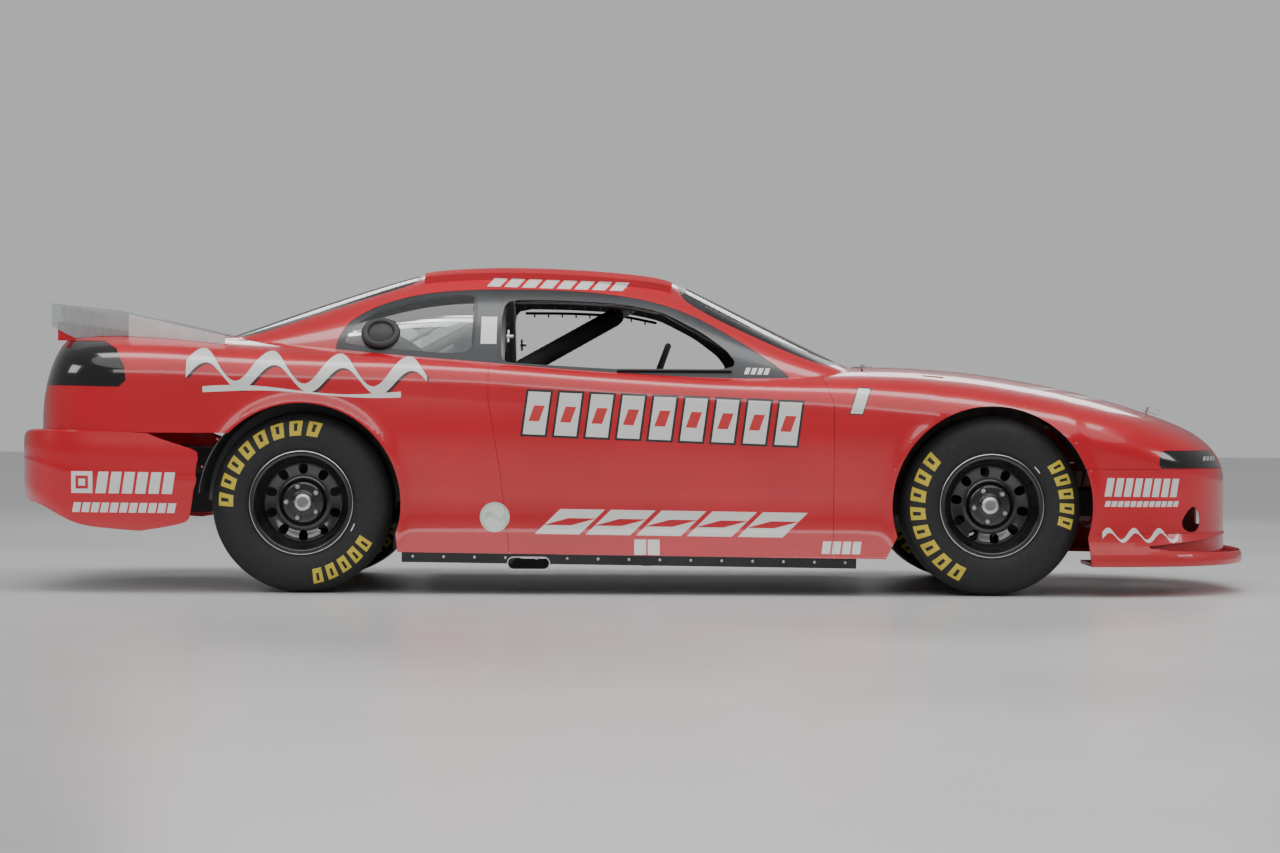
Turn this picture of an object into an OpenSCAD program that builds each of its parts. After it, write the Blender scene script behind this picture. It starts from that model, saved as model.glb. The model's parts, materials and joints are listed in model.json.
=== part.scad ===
/* [Overall] */
// Overall length, splitter lip to rear bumper
body_len = 4950; // [4700:10:5200]
// Half width of the body side at the doors
half_w = 932; // [860:2:1000]
// Distance between the axles
wheelbase = 2692; // [2500:2:2900]
// Distance from the nose tip to the front axle
front_overhang = 1102; // [1000:2:1200]
// Distance between the centres of the two wheels of an axle
track = 1540; // [1440:2:1600]

/* [Body panels] */
// Thickness of the glass-fibre panels
panel_t = 7; // [5:0.5:10]
// Gap round the hood and the deck lid
lid_gap = 7; // [5:0.5:9]
// Gap at a seam between two fixed panels
seam = 0.6; // [0.4:0.1:3]
// Height of the door sill above the ground, midway along the car
sill_z = 154; // [130:1:180]
// Drop of the sill per metre towards the nose
rake = 10; // [0:1:20]
// Thickness of the polycarbonate windows
glass_t = 4; // [3:0.5:5]

/* [Wheels] */
// Outside diameter of a tyre
tyre_d = 704; // [680:1:716]
// Section width of a tyre
tyre_w = 300; // [270:1:310]
// Diameter of the rim at the bead seat
rim_d = 381; // [370:1:400]
// Width of the rim across its flanges
rim_w = 262; // [250:1:270]
// Radius of a wheel arch round the tyre
arch_r = 389; // [384:1:400]
// Distance from the wheel's middle plane in to the kingpin
kingpin_in = 60; // [40:1:66]
// Radius of a wheel spindle
spindle_r = 20; // [16:0.5:24]
// Running clearance of a pin or spindle
run = 0.05; // [0.02:0.01:0.1]
// Clearance between pieces that seat on each other
seat_gap = 0.3; // [0.1:0.1:0.6]

/* [Frame and cage] */
// Radius of the roll cage tubes
cage_r = 22; // [19:0.5:25]
// Width of a frame rail
rail_w = 76; // [60:1:90]
// Height of a frame rail
rail_h = 102; // [80:1:120]

/* [Hidden] */
$fn = 48;

nose_x = body_len/2;
tail_x = -body_len/2;
front_x = nose_x - front_overhang;
rear_x = front_x - wheelbase;
axle_z = tyre_d/2;
wheel_y = track/2;
kingpin_y = wheel_y - kingpin_in;

// ---- curves ---------------------------------------------------------------

function clamp(v, low, high) = min(max(v, low), high);
function smooth(a, b, v) = let (t = clamp((v - a)/(b - a), 0, 1)) t*t*(3 - 2*t);

// A table is a list of [position, value] rows. curve() runs smoothly through them.
function row_at(tb, x, i = 0) = i >= len(tb) - 2 || x < tb[i + 1][0] ? i : row_at(tb, x, i + 1);
function steep(tb, i) = let (a = max(i - 1, 0), b = min(i + 1, len(tb) - 1))
    (tb[b][1] - tb[a][1])/(tb[b][0] - tb[a][0]);
function curve(tb, x) = let (
    i = row_at(tb, x), h = tb[i + 1][0] - tb[i][0], t = clamp((x - tb[i][0])/h, 0, 1),
    a = tb[i][1], b = tb[i + 1][1], p = steep(tb, i)*h, q = steep(tb, i + 1)*h)
    a + t*(p + t*(3*(b - a) - 2*p - q + t*(2*(a - b) + p + q)));

// Width share where the plan view rounds off towards an end, 1 before it starts and 0 at the tip.
function rounding(x, start, tip, p, q) = let (t = clamp((x - start)/(tip - start), 0, 1))
    pow(max(1 - pow(t, p), 0), 1/q);

// ---- lower body: half section at station x, inset by e ---------------------

face_x = nose_x - 75;                 // front face of the nose above the splitter
back_x = tail_x + 65;                 // rear face of the tail above the bumper

// Height of the centre line of hood, cowl and deck
crown = [[back_x, 650], [back_x + 12, 770], [back_x + 40, 880], [back_x + 78, 970], [back_x + 120, 1018],
    [back_x + 200, 1034], [-1900, 1030], [-1600, 1012], [-1300, 996], [-1000, 976], [-500, 932], [200, 890],
    [600, 886], [850, 898], [1000, 900], [1130, 896], [1330, 880], [1530, 852], [1730, 814],
    [1930, 764], [2130, 700], [2230, 660], [2300, 620], [2350, 575], [2380, 530], [face_x, 440]];
// Height where the side starts to round over into the top
shoulder = [[back_x, 600], [back_x + 60, 700], [back_x + 150, 790], [-1900, 810], [-1300, 800], [-600, 760],
    [0, 720], [700, 690], [1000, 680], [1373, 650], [1700, 590], [2000, 520], [2200, 470], [face_x, 420]];
// Roundness of the shoulder: higher is boxier
boxiness = [[back_x, 3], [-2000, 3.2], [-1500, 3.1], [-1200, 3.3], [-850, 3.9], [-550, 4.4], [600, 3.8],
    [1000, 3], [1500, 2.6], [2000, 2.5], [face_x, 2.3]];
// Half width of the side at the wheels, doors and ends
side_w = [[back_x, -18], [-1900, 2], [rear_x, 14], [-700, 0], [0, -3], [700, 0], [front_x, 14], [1850, 6],
    [face_x, -6]];
// How far the side stands out at a height: sill flare, hollow, bulge and lean-in
side_lean = [[100, 14], [150, 12], [200, -10], [260, -27], [340, -30], [430, -18], [560, -2], [660, 0],
    [760, -7],
    [880, -24], [1000, -52]];

function nose_round(x, e) = rounding(x, 1500, face_x - e, 3.4, 2.3);
function tail_round(x, e) = rounding(-x, 1450, -back_x - e, 6, 4);
// The sides hold their hollow only between the wheels
function lean(x, z) = curve(side_lean, z)*(1 - 0.75*smooth(820, 1250, x))*(1 - 0.75*smooth(-850, -1300, x));
function side_y(x, z, e) = (half_w - e + curve(side_w, x) + lean(x, z))*nose_round(x, e)*tail_round(x, e);

side_steps = [0, 0.09, 0.18, 0.28, 0.4, 0.54, 0.7, 0.86, 1];
turn_steps = [12, 24, 35, 46, 57, 68, 79, 90];
function sill(x) = sill_z - rake*x/1000;
function body_half(x, e, drop) = let (
    floor_z = sill(x) - drop, zs = curve(shoulder, x), zt = curve(crown, x) - e, m = curve(boxiness, x),
        ys = side_y(x, zs, e))
    concat([for (s = side_steps) let (z = floor_z + s*(zs - floor_z)) [max(side_y(x, z, e), 0.5), z]],
        [for (a = turn_steps) [max(ys*pow(cos(a), 2/m), a == 90 ? 0 : 0.4), zs + (zt - zs)*pow(sin(a),
            2/m)]]);

function end_stations(start, tip, n, p) = [for (i = [1:n]) start + (tip - start)*pow(sin(90*i/n), p)];
function body_stations(e) = concat(
    [for (i = [13:-1:1]) -end_stations(1950, -back_x - e, 13, 0.9)[i - 1]],
    [for (x = [-1950:130:1950]) x],
    end_stations(1990, face_x - e, 13, 0.9));

// Height of the skin at a point of the plan
function skin_z(x, y) = let (zs = curve(shoulder, x), m = curve(boxiness, x))
    zs + (curve(crown, x) - zs)*pow(1 - pow(abs(y)/side_y(x, zs, 0), m), 1/m);

// A closed solid through sections of equal point count, each a list of [y, z] from the bottom
// edge to the centre line
module loft(stations, halves) {
    n = len(halves[0]);
    ring = 2*n - 1;
    points = [for (i = [0:len(stations) - 1]) each concat(
        [for (k = [0:n - 1]) [stations[i], -halves[i][k][0], halves[i][k][1]]],
        [for (k = [n - 2:-1:0]) [stations[i], halves[i][k][0], halves[i][k][1]]])];
    last = (len(stations) - 1)*ring;
    polyhedron(points, concat(
        [[for (k = [ring - 1:-1:0]) k]], [[for (k = [0:ring - 1]) last + k]],
        [for (i = [0:len(stations) - 2], k = [0:ring - 1]) let (a = i*ring + k, b = i*ring + (k + 1)%ring)
            each [[a, b, b + ring], [a, b + ring, a + ring]]]), convexity = 6);
}

module body_solid(e = 0, drop = 0) {
    xs = body_stations(e);
    loft(xs, [for (x = xs) body_half(x, e, drop)]);
}

module body_shell() {
    difference() {
        body_solid();
        body_solid(panel_t, 100);
    }
}

// ---- cabin top: half section of roof, pillars and glass --------------------

roof_line = [[-1850, 945], [-1750, 984], [-1600, 1039], [-1300, 1146], [-1000, 1243], [-850, 1280],
    [-700, 1296],
    [-500, 1302], [-200, 1293], [40, 1270], [140, 1244], [300, 1168], [500, 1068], [700, 968], [800, 920],
        [920, 862]];
cabin_foot = [[-1850, 560], [-1600, 640], [-1300, 745], [-1000, 815], [-500, 850], [0, 852], [500, 830],
    [800, 780], [920, 740]];
cabin_base = 700;
roof_boxiness = [[-1850, 2.6], [-1200, 3.0], [-600, 3.4], [0, 3.4], [500, 3.2], [920, 3]];
tumblehome = 0.30;
roof_turns = [8, 16, 24, 32, 40, 48, 56, 64, 72, 81, 90];

function cabin_sill(x) = curve([[-1850, 940], [-1200, 925], [-600, 880], [0, 838], [600, 812],
    [920, 800]], x);
function cabin_half(x, e) = let (zb = cabin_sill(x), zt = max(curve(roof_line, x) - e, zb + 4),
    m = curve(roof_boxiness, x),
    w = curve(cabin_foot, x) - e, lean_share = tumblehome*(zt - zb)/420)
    concat([[w, cabin_base]], [for (a = concat([0], roof_turns)) let (s = pow(sin(a), 2/m))
        [a == 90 ? 0 : w*pow(cos(a), 2/m)*(1 - lean_share*s), zb + (zt - zb)*s]]);

cabin_xs = [for (i = [0:34]) -1850 + 2770*i/34];
module cabin_solid(e = 0) {
    loft(cabin_xs, [for (x = cabin_xs) cabin_half(x, e)]);
}
module cabin_shell(t, out = 0) {
    difference() {
        cabin_solid(out);
        cabin_solid(out + t);
    }
}

// ---- outlines that split the skin ------------------------------------------

big = 3000;
module across(outline) { rotate([90, 0, 0]) linear_extrude(2*big, center = true) polygon(outline); }
module upright(outline) { translate([0, 0, -100]) linear_extrude(big) polygon(outline); }
module left_only(y = 0) { translate([-big, y, -big]) cube(2*big); }
module mirrored(left) { if (left) children(); else mirror([0, 1, 0]) children(); }
function both_sides(edge) = concat(edge, [for (i = [len(edge) - 1:-1:0]) [edge[i][0], -edge[i][1]]]);

// Keeps a cut shell as one mesh
module skin() { resize([0, 0, 0]) children(); }

hood_edge = [[905, 0], [900, 350], [880, 640], [905, 690], [1150, 672], [1500, 640], [1850, 585],
    [2120, 500],
    [2235, 380], [2290, 200], [2305, 0]];
deck_edge = [[-1700, 0], [-1700, 560], [-1730, 610], [-2000, 625], [-2250, 620], [-2300, 600], [-2310, 0]];
cabin_edge = [for (x = [-1560:120:720]) [x, curve(cabin_foot, x) - 40]];
door_rear = [[-486, 0], [-545, 483], [-592, 760], [-592, 1400]];
door_front = [[756, 0], [756, 745], [716, 845], [716, 1400]];
bumper_seam_z = 622;
nose_seam_z = 498;
nose_seam_x = front_x + arch_r - 25;
bumper_seam_x = rear_x - arch_r + 25;
header_y = 430;
tail_half_w = 626;
cowl_half_w = 700;

module plan_cut(edge, gap) {
    translate([0, 0, -100]) linear_extrude(big) offset(delta = gap) polygon(both_sides(edge));
}
module cabin_hole() { upright(both_sides(cabin_edge)); }

module arch(x, r, back_foot, front_foot) {
    rotate([90, 0, 0]) linear_extrude(2*big, center = true) hull() {
        translate([x, axle_z]) circle(r, $fn = 64);
        translate([x - back_foot, 0]) square(1);
        translate([x + front_foot, 0]) square(1);
    }
}
module arches() {
    arch(front_x, arch_r, 490, 402);
    arch(rear_x, arch_r, 425, 402);
}

// Body skin with every opening that several panels share
module lower_skin() {
    difference() {
        body_shell();
        arches();
        cabin_hole();
    }
}

function band(rear, front) = concat(rear, [for (i = [len(front) - 1:-1:0]) front[i]]);
function shift(edge, dx) = [for (p = edge) [p[0] + dx, p[1]]];

module below_bumper_seam(g = 0) { translate([tail_x - 200, -big, -200])
    cube([bumper_seam_x - tail_x + 400, 2*big, bumper_seam_z + 200 + g]); }
module below_nose_seam(g = 0) { translate([nose_seam_x - 300, -big, -200])
    cube([1500, 2*big, nose_seam_z + 200 + g]); }

module side_door(left) {
    color("red") skin() intersection() {
        lower_skin();
        across(band(shift(door_rear, seam/2), shift(door_front, -seam/2)));
        mirrored(left) left_only(100);
    }
}

module fender(left) {
    color("red") skin() difference() {
        intersection() {
            lower_skin();
            across(band(shift(door_front, seam/2), [[big, 0], [big, 1400]]));
            mirrored(left) left_only(0);
        }
        plan_cut(hood_edge, lid_gap/2);
        below_nose_seam(seam/2);
        translate([0, -header_y - seam/2, 0]) cube([big, 2*header_y + seam, big]);
        translate([0, -cowl_half_w - seam/2, 0]) cube([1200, 2*cowl_half_w + seam, big]);
        headlight_outline(0);
    }
}

module quarter(left) {
    color("red") skin() difference() {
        intersection() {
            union() {
                lower_skin();
                difference() {
                    deck_lips(left ? 1 : -1);
                    body_solid(2, 100);
                }
            }
            across(band([[-big, 0], [-big, 1400]], shift(door_rear, -seam/2)));
            mirrored(left) left_only(0);
        }
        plan_cut(deck_edge, lid_gap/2);
        below_bumper_seam(seam/2);
        translate([tail_x, -tail_half_w - seam/2, 0]) cube([big, 2*tail_half_w + seam, big]);
        tail_light_outline(0);
    }
}

// Side view outlines of the light covers, grown by g
module across_grown(outline, g) {
    rotate([90, 0, 0]) linear_extrude(2*big, center = true) offset(delta = g) polygon(outline);
}
module headlight_outline(g) { across_grown([[2030, 512], [2034, 556], [2052, 570], [2600, 570],
    [2600, 500], [2042, 500]], g); }
module tail_light_outline(g) {
    across_grown([[-2600, 806], [-2600, 985], [-2290, 985], [-2110, 982], [-2050, 950], [-2008, 880],
        [-2002, 825],
        [-2030, 800], [-2330, 806]], g);
}

module cover_skin() {
    difference() {
        body_solid(1);
        translate([0, 0, -1]) body_solid(panel_t - 1);
    }
}
module light_covers() {
    color("black") {
        skin() difference() {
            intersection() {
                cover_skin();
                headlight_outline(-seat_gap);
            }
            translate([0, -header_y - seam/2, 0]) cube([big, 2*header_y + seam, big]);
            plan_cut(hood_edge, lid_gap/2 + 1);
            below_nose_seam(seam/2 + 2.3);
        }
        skin() difference() {
            intersection() {
                cover_skin();
                tail_light_outline(-seat_gap);
            }
            translate([tail_x, -tail_half_w - seam, 0]) cube([600, 2*(tail_half_w + seam), big]);
        }
    }
}

module hood() {
    color("red") skin() intersection() {
        body_shell();
        plan_cut(hood_edge, -lid_gap/2);
        translate([0, -big, nose_seam_z]) cube([big, 2*big, big]);
    }
}

module cowl_panel() {
    color("red") skin() difference() {
        intersection() {
            lower_skin();
            translate([door_front[3][0] + seam, -cowl_half_w + seam/2, 600])
                cube([400, 2*cowl_half_w - seam, 500]);
        }
        plan_cut(hood_edge, lid_gap/2);
    }
}

module deck_lid() {
    color("red") skin() intersection() {
        body_shell();
        plan_cut(deck_edge, -lid_gap/2);
        translate([-big, -big, 900]) cube([big, 2*big, 400]);
    }
}

module tail_panel() {
    color("red") skin() difference() {
        intersection() {
            lower_skin();
            translate([tail_x, -tail_half_w + seam/2, bumper_seam_z + seam/2])
                cube([400, 2*tail_half_w - seam, 600]);
        }
        plan_cut(deck_edge, lid_gap/2);
    }
}

// ---- bumpers ----------------------------------------------------------------

// Levels of the nose's lower edge: height, and how far its lip stands out there
lip_levels = [[118, 73], [128, 75], [148, 75], [165, 67], [185, 45], [212, 17], [244, 0]];
lip_floor = 132;
lip_xs = [nose_seam_x - 120, 1760, 1850, 1950];
function lip_ring(grow, e) = [for (x = concat(lip_xs, end_stations(2000, face_x + grow - e, 9, 0.9)))
    [max((half_w + 6 + grow*0.3 - e)*rounding(x, 1500, face_x + grow - e, 3.4, 2.3), 0), x]];
module stack(levels, e) {
    mirror([1, 0, -1]) loft([for (l = levels) l[0]], [for (l = levels) lip_ring(l[1], e)]);
}

module nose_cover() {
    color("red") skin() difference() {
        union() {
            intersection() {
                body_shell();
                union() {
                    below_nose_seam(-seam/2);
                    translate([1900, -header_y + seam/2, nose_seam_z - seam])
                        cube([1000, 2*header_y - seam, 400]);
                }
            }
            difference() {
                stack(lip_levels, 0);
                translate([0, 0, lip_floor - lip_levels[0][0]]) stack(lip_levels, panel_t);
            }
        }
        arches();
        plan_cut(hood_edge, lid_gap/2);
        translate([nose_seam_x - 900, -big, 0]) cube([900, 2*big, big]);
        across(brake_inlet);
        translate([2000, -inlet_half_w, inlet_z]) cube([900, 2*inlet_half_w, inlet_h]);
    }
}
brake_inlet = [[2128, 294], [2163, 341], [2190, 353], [2213, 322], [2217, 283], [2198, 252], [2167, 248],
    [2136, 263]];
inlet_half_w = 330;
inlet_z = 250;
inlet_h = 115;

bumper_top = [[tail_x, 560], [tail_x + 25, 610], [tail_x + 80, 632], [-2200, 632], [-1500, 612]];
bumper_low = [[tail_x, 420], [tail_x + 30, 380], [-2350, 318], [-2200, 226], [-2050, 196], [-1790, 178],
    [-1500, 170]];
function bumper_half(x, e) = let (zb = curve(bumper_low, x) - (e > 0 ? 60 : 0), zt = curve(bumper_top, x)
    - e,
    r = rounding(-x, 1450, -tail_x - e, 7, 4.5), w = (half_w + 2 - e)*r, lip = 30*r)
    [[max(w - 26*r, 0.5), zb], [max(w - 6*r, 0.5), zb + 0.16*(zt - zb)], [max(w, 0.5), zb + 0.35*(zt - zb)],
     [max(w + 6*r, 0.5), zb + 0.6*(zt - zb)], [max(w + 5*r, 0.5), zb + 0.85*(zt - zb)],
     [max(w - 2*r, 0.5), zt - 8], [max(w - lip, 0.4), zt], [0, zt]];
function bumper_stations(e) = concat([for (i = [10:-1:1]) -end_stations(2000, -tail_x - e, 10,
    0.9)[i - 1]], [-1990, -1900, -1800, -1700, -1600]);

module bumper_solid(e) {
    xs = bumper_stations(e);
    loft(xs, [for (x = xs) bumper_half(x, e)]);
}

module rear_bumper() {
    color("red") skin() difference() {
        bumper_solid(0);
        translate([0.01, 0, 0]) bumper_solid(panel_t);
        arches();
        translate([bumper_seam_x, -big, 0]) cube([900, 2*big, big]);
        body_solid(-0.5, 150);
    }
}

// ---- roof, glass and trim -----------------------------------------------------

screen_edge = [[846, 0], [838, 300], [800, 560], [728, 690], [560, 668], [300, 590], [165, 520],
    [140, 300], [130, 0]];
rear_edge = [[-868, 0], [-874, 300], [-900, 470], [-1250, 540], [-1500, 560], [-1590, 540], [-1640, 400],
    [-1655, 0]];
// Whole dark side window outline, and the open door window inside it
side_glass = [[-1204, 972], [-1160, 1062], [-1060, 1124], [-950, 1162], [-830, 1186], [-630, 1200],
    [-316, 1198], [-158, 1186],
    [0, 1163], [120, 1131], [240, 1082], [415, 980], [602, 848], [602, 780], [-78, 780], [-860, 830],
        [-1190, 880]];
door_window = [[-548, 1158], [-316, 1155], [-80, 1143], [80, 1112], [238, 1032], [338, 958], [372, 912],
    [366, 892], [315, 880],
    [-78, 878], [-470, 900], [-548, 908]];
quarter_glass = [[-1180, 976], [-1135, 1048], [-1050, 1106], [-900, 1156], [-640, 1185], [-654, 932],
    [-950, 952]];

// Apron between the rear window and the deck lid
apron_x = -1700 + lid_gap/2;
apron_l = 125;
module roof_panel() {
    color("red") skin() difference() {
        union() {
            cabin_shell(panel_t);
            roof_rails();
            intersection() {
                body_shell();
                translate([apron_x, -tail_half_w + seam/2, 800]) cube([apron_l, 2*tail_half_w - seam, 400]);
            }
        }
        difference() {
            body_solid(-0.3, 150);
            body_solid(panel_t + 0.3, 150);
            translate([apron_x, -tail_half_w + seam/2, 800]) cube([apron_l, 2*tail_half_w - seam, 400]);
        }
        difference() {
            body_solid(panel_t - 0.1, 150);
            translate([apron_x, -tail_half_w, 800]) cube([apron_l, 2*tail_half_w, 400]);
            translate([-big, -big, 0]) cube([2*big, 2*big, 1]);
        }
        translate([-big, -big, -100]) cube([2*big, 2*big, 100 + cabin_base + 1]);
        upright(both_sides(screen_edge));
        upright(both_sides(rear_edge));
        across(side_glass);
    }
}

roof_rail_y = 452;
module roof_rails() {
    for (s = [-1, 1]) intersection() {
        translate([0, s*roof_rail_y, 0]) rotate([90, 0, 0]) linear_extrude(60, center = true)
            polygon([[-868, 1180], [-868, 1296], [-500, 1300], [-200, 1288], [40, 1260], [128, 1236],
                [120, 1180]]);
        difference() {
            cabin_solid(-30);
            cabin_solid(0.5);
        }
    }
}

module windshield() {
    color("grey", 0.4) skin() intersection() {
        cabin_shell(glass_t, 0.8);
        translate([0, 0, -100]) linear_extrude(big) offset(delta = -0.4) polygon(both_sides(screen_edge));
        difference() {
            translate([-big, -big, 800]) cube(2*big);
            body_solid(-0.6, 150);
        }
    }
}

module trim_band(edge, gap) {
    rotate([90, 0, 0]) linear_extrude(2*big, center = true) offset(delta = gap) polygon(edge);
}

module window_trim() {
    color("darkslategray") skin() difference() {
        intersection() {
            cabin_shell(5, 1);
            trim_band(side_glass, -0.4);
            difference() {
                translate([-big, -big, 800]) cube(2*big);
                body_solid(-0.6, 150);
            }
        }
        trim_band(door_window, 0);
        trim_band(quarter_glass, 0);
    }
}

module rear_windows() {
    color("grey", 0.4) {
        skin() intersection() {
            cabin_shell(glass_t, 0.8);
            translate([0, 0, -100]) linear_extrude(big) offset(delta = -0.4) polygon(both_sides(rear_edge));
            difference() {
                translate([-big, -big, 800]) cube(2*big);
                body_solid(-0.6, 150);
            }
        }
        skin() difference() {
            intersection() {
                cabin_shell(glass_t, 1.5);
                trim_band(quarter_glass, -0.4);
            }
            body_solid(-0.6, 150);
            translate([-1023, 0, 1018]) rotate([90, 0, 0]) cylinder(r = 60, h = 2*big, center = true);
        }
    }
}

// ---- hinges of hood and deck lid -------------------------------------------

hinge_pin_r = 3;
hinge_play = 0.15;
hinge_eye_r = 6;
leaf_t = 3;
leaf_w = 40;
leaf_l = 34;
hood_hinge_x = 905;
hood_hinge_y = 300;
deck_hinge_x = -1700;
deck_hinge_y = 400;
function pivot_z(x, y) = skin_z(x, y) + seat_gap + hinge_eye_r + 1;

// Half a hinge at the origin: a leaf towards +X with its eyes, and the pin if it holds it
module leaf(drop, with_pin) {
    difference() {
        union() {
            translate([hinge_eye_r + 1, -leaf_w/2, -drop]) cube([leaf_l - 3, leaf_w, leaf_t]);
            translate([0, leaf_w/2 - 10, 0]) rotate([90, 0, 0]) translate([0, 0, with_pin ? -10 : 0.3])
                cylinder(r = hinge_eye_r, h = with_pin ? 10 : leaf_w - 20.6);
            if (with_pin) translate([0, -leaf_w/2 + 10, 0]) rotate([90, 0, 0]) cylinder(r = hinge_eye_r,
                h = 10);
            for (y = with_pin ? [-leaf_w/2, leaf_w/2 - 10] : [-leaf_w/2 + 10.3])
                translate([0, y, -drop]) cube([hinge_eye_r + 6, with_pin ? 10 : leaf_w - 20.6, drop]);
        }
        if (!with_pin) {
            rotate([90, 0, 0]) cylinder(r = hinge_pin_r + hinge_play, h = 2*leaf_w, center = true);
            for (s = [-1, 1]) translate([-hinge_eye_r - 3, s > 0 ? leaf_w/2 - 10.3 : -leaf_w/2 - 5,
                -5*hinge_eye_r])
                cube([2*hinge_eye_r + 10, 15.6, 10*hinge_eye_r]);
        }
    }
    if (with_pin) rotate([90, 0, 0]) cylinder(r = hinge_pin_r, h = leaf_w, center = true);
}
// How far the flat facets of the skin lie below its curve
facet_sag = 0.5;
// Highest point of the skin under a leaf
function leaf_seat(x, y, side) = max([for (dx = [4, 38], dy = [-leaf_w/2, leaf_w/2])
    skin_z(x + side*dx, y + dy)]);
module leaves_at(x, y, side, with_pin) {
    drop = pivot_z(x, y) - leaf_seat(x, y, side) - seat_gap + facet_sag;
    for (s = [-1, 1]) translate([x, s*y, pivot_z(x, y)]) mirror([side > 0 ? 0 : 1, 0, 0])
        leaf(drop, with_pin);
}
module hood_hinges() { color("silver") leaves_at(hood_hinge_x, hood_hinge_y, 1, false); }
module deck_hinges() { color("silver") leaves_at(deck_hinge_x, deck_hinge_y, -1, false); }
module hinge_leaves() {
    color("silver") {
        leaves_at(hood_hinge_x, hood_hinge_y, -1, true);
        leaves_at(deck_hinge_x, deck_hinge_y, 1, true);
    }
}

// ---- deck fences and spoiler -------------------------------------------------

// Lip along each side of the deck: plan line, top edge and the clear fence above it
lip_front = [-1490, 780];
lip_rear = [-2340, 616];
lip_t = 6;
fence_t = 4;
lip_top = [[-1490, 940], [-1667, 980], [-2060, 1027], [-2340, 1067]];
fence_top = [[-2340, 1134], [-2062, 1104], [-1660, 1014]];
fence_xs = [-1660, -1780, -1900, -2020, -2140, -2240];
blade_x = -2290;
blade_half_w = 560;
blade_h = 112;
blade_lean = 14;
blade_ys = [for (i = [0:12]) -blade_half_w + 2*blade_half_w*i/12];
lip_turn = atan2(lip_front[1] - lip_rear[1], lip_front[0] - lip_rear[0]);
// An outline in side view, raised as a plate of thickness t along the lip's plan line
module along_lip(outline, t, out) {
    for (s = [0, 1]) mirror([0, s, 0]) translate([lip_rear[0], lip_rear[1] + out, 0])
        rotate([0, 0, lip_turn])
        translate([0, t, 0]) rotate([90, 0, 0]) linear_extrude(t)
            polygon([for (p = outline) [(p[0] - lip_rear[0])/cos(lip_turn), p[1]]]);
}
module deck_lips(side) {
    intersection() {
        along_lip(concat(lip_top, [[-2340, 1012], [-2300, 900], [-1490, 900]]), lip_t, 0);
        translate([-big, side > 0 ? 0 : -big, 0]) cube([2*big, big, big]);
    }
}
function lip_y(x) = lip_rear[1] + (x - lip_rear[0])*(lip_front[1] - lip_rear[1])/(lip_front[0] -
    lip_rear[0]);
module side_fences() {
    color("silver", 0.6) along_lip(concat([for (x = fence_xs) [x, skin_z(x, lip_y(x) + lip_t)
        + seat_gap + 1]],
        [[-2340, 1040]], fence_top), fence_t, lip_t + seat_gap);
}

// How far the lid's flat facets lie below its curve under the blade
blade_sink = 2.2;
blade_base = skin_z(blade_x, 0);
// Height of the blade's foot above its base line, measured along the leaning blade
function blade_foot(y) = let (drop = skin_z(blade_x, y) - blade_base)
    (skin_z(blade_x - drop*sin(blade_lean) + fence_t/2, y) - blade_base)/cos(blade_lean) - blade_sink;
module spoiler_blade() {
    color("silver", 0.6) translate([blade_x, 0, blade_base]) rotate([0, -blade_lean, 0]) rotate([90, 0, 90])
        linear_extrude(fence_t, center = true) polygon(concat(
            [for (y = blade_ys) [y, blade_foot(y)]], [[blade_half_w, blade_h], [-blade_half_w, blade_h]]));
}

skirt_y = half_w + 8;
skirt_l = 1766;
skirt_h = 38;
pipe_x = -430;
pipe_z = 122;
pipe_r = 26;
module pipe_outline(r, h) {
    translate([pipe_x, 0, pipe_z]) rotate([90, 0, 0]) hull() for (s = [-1, 1]) translate([s*58, 0, 0])
        cylinder(r = r, h = h, $fn = 32);
}
module side_skirts() {
    color("black") difference() {
        for (s = [-1, 1]) translate([-40, s*skirt_y, sill(-40) - seat_gap]) rotate([0, atan(rake/1000), 0])
            translate([-skirt_l/2, -2.5, -skirt_h]) cube([skirt_l, 5, skirt_h]);
        translate([pipe_x - 58, -1200, pipe_z - pipe_r - seat_gap - 60])
            cube([116, 1200, 2*(pipe_r + seat_gap) + 60]);
        for (s = [-1, 1]) translate([pipe_x + s*58, 0, pipe_z]) rotate([90, 0, 0])
            cylinder(r = pipe_r + seat_gap, h = 1200);
    }
}

// Oval tail pipe that leaves under the right door
module exhaust_pipes() {
    color("silver") difference() {
        pipe_outline(pipe_r, skirt_y + 6);
        translate([0, 1, 0]) pipe_outline(pipe_r - 4, skirt_y + 20);
    }
}

// ---- floor, frame and cage -----------------------------------------------------

floor_z = sill_z + 8;
sheet_t = 3;
floor_top = floor_z + sheet_t;
floor_half_w = 850;
firewall_x = 800;
tub_r = arch_r + 12;
bulkhead_x = rear_x + tub_r + sheet_t + seat_gap;
bulkhead_top = 720;
trunk_z = 560;
trunk_half_w = 520;
tunnel_half_w = 165;
tunnel_top = 500;
tub_y = 560;
shelf_z = axle_z + 200;
shelf_end = front_x - sqrt(pow(tub_r + sheet_t + seat_gap, 2) - pow(shelf_z - axle_z, 2));

module tub(x, a0, a1, y0, y1) {
    translate([x, y1, axle_z]) rotate([90, 0, 0]) rotate([0, 0, a0]) rotate_extrude(angle = a1 - a0)
        translate([tub_r, 0]) square([sheet_t, y1 - y0]);
}
module tunnel_space() {
    translate([-big, -tunnel_half_w, 0]) cube([2*big, 2*tunnel_half_w, tunnel_top]);
}
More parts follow.
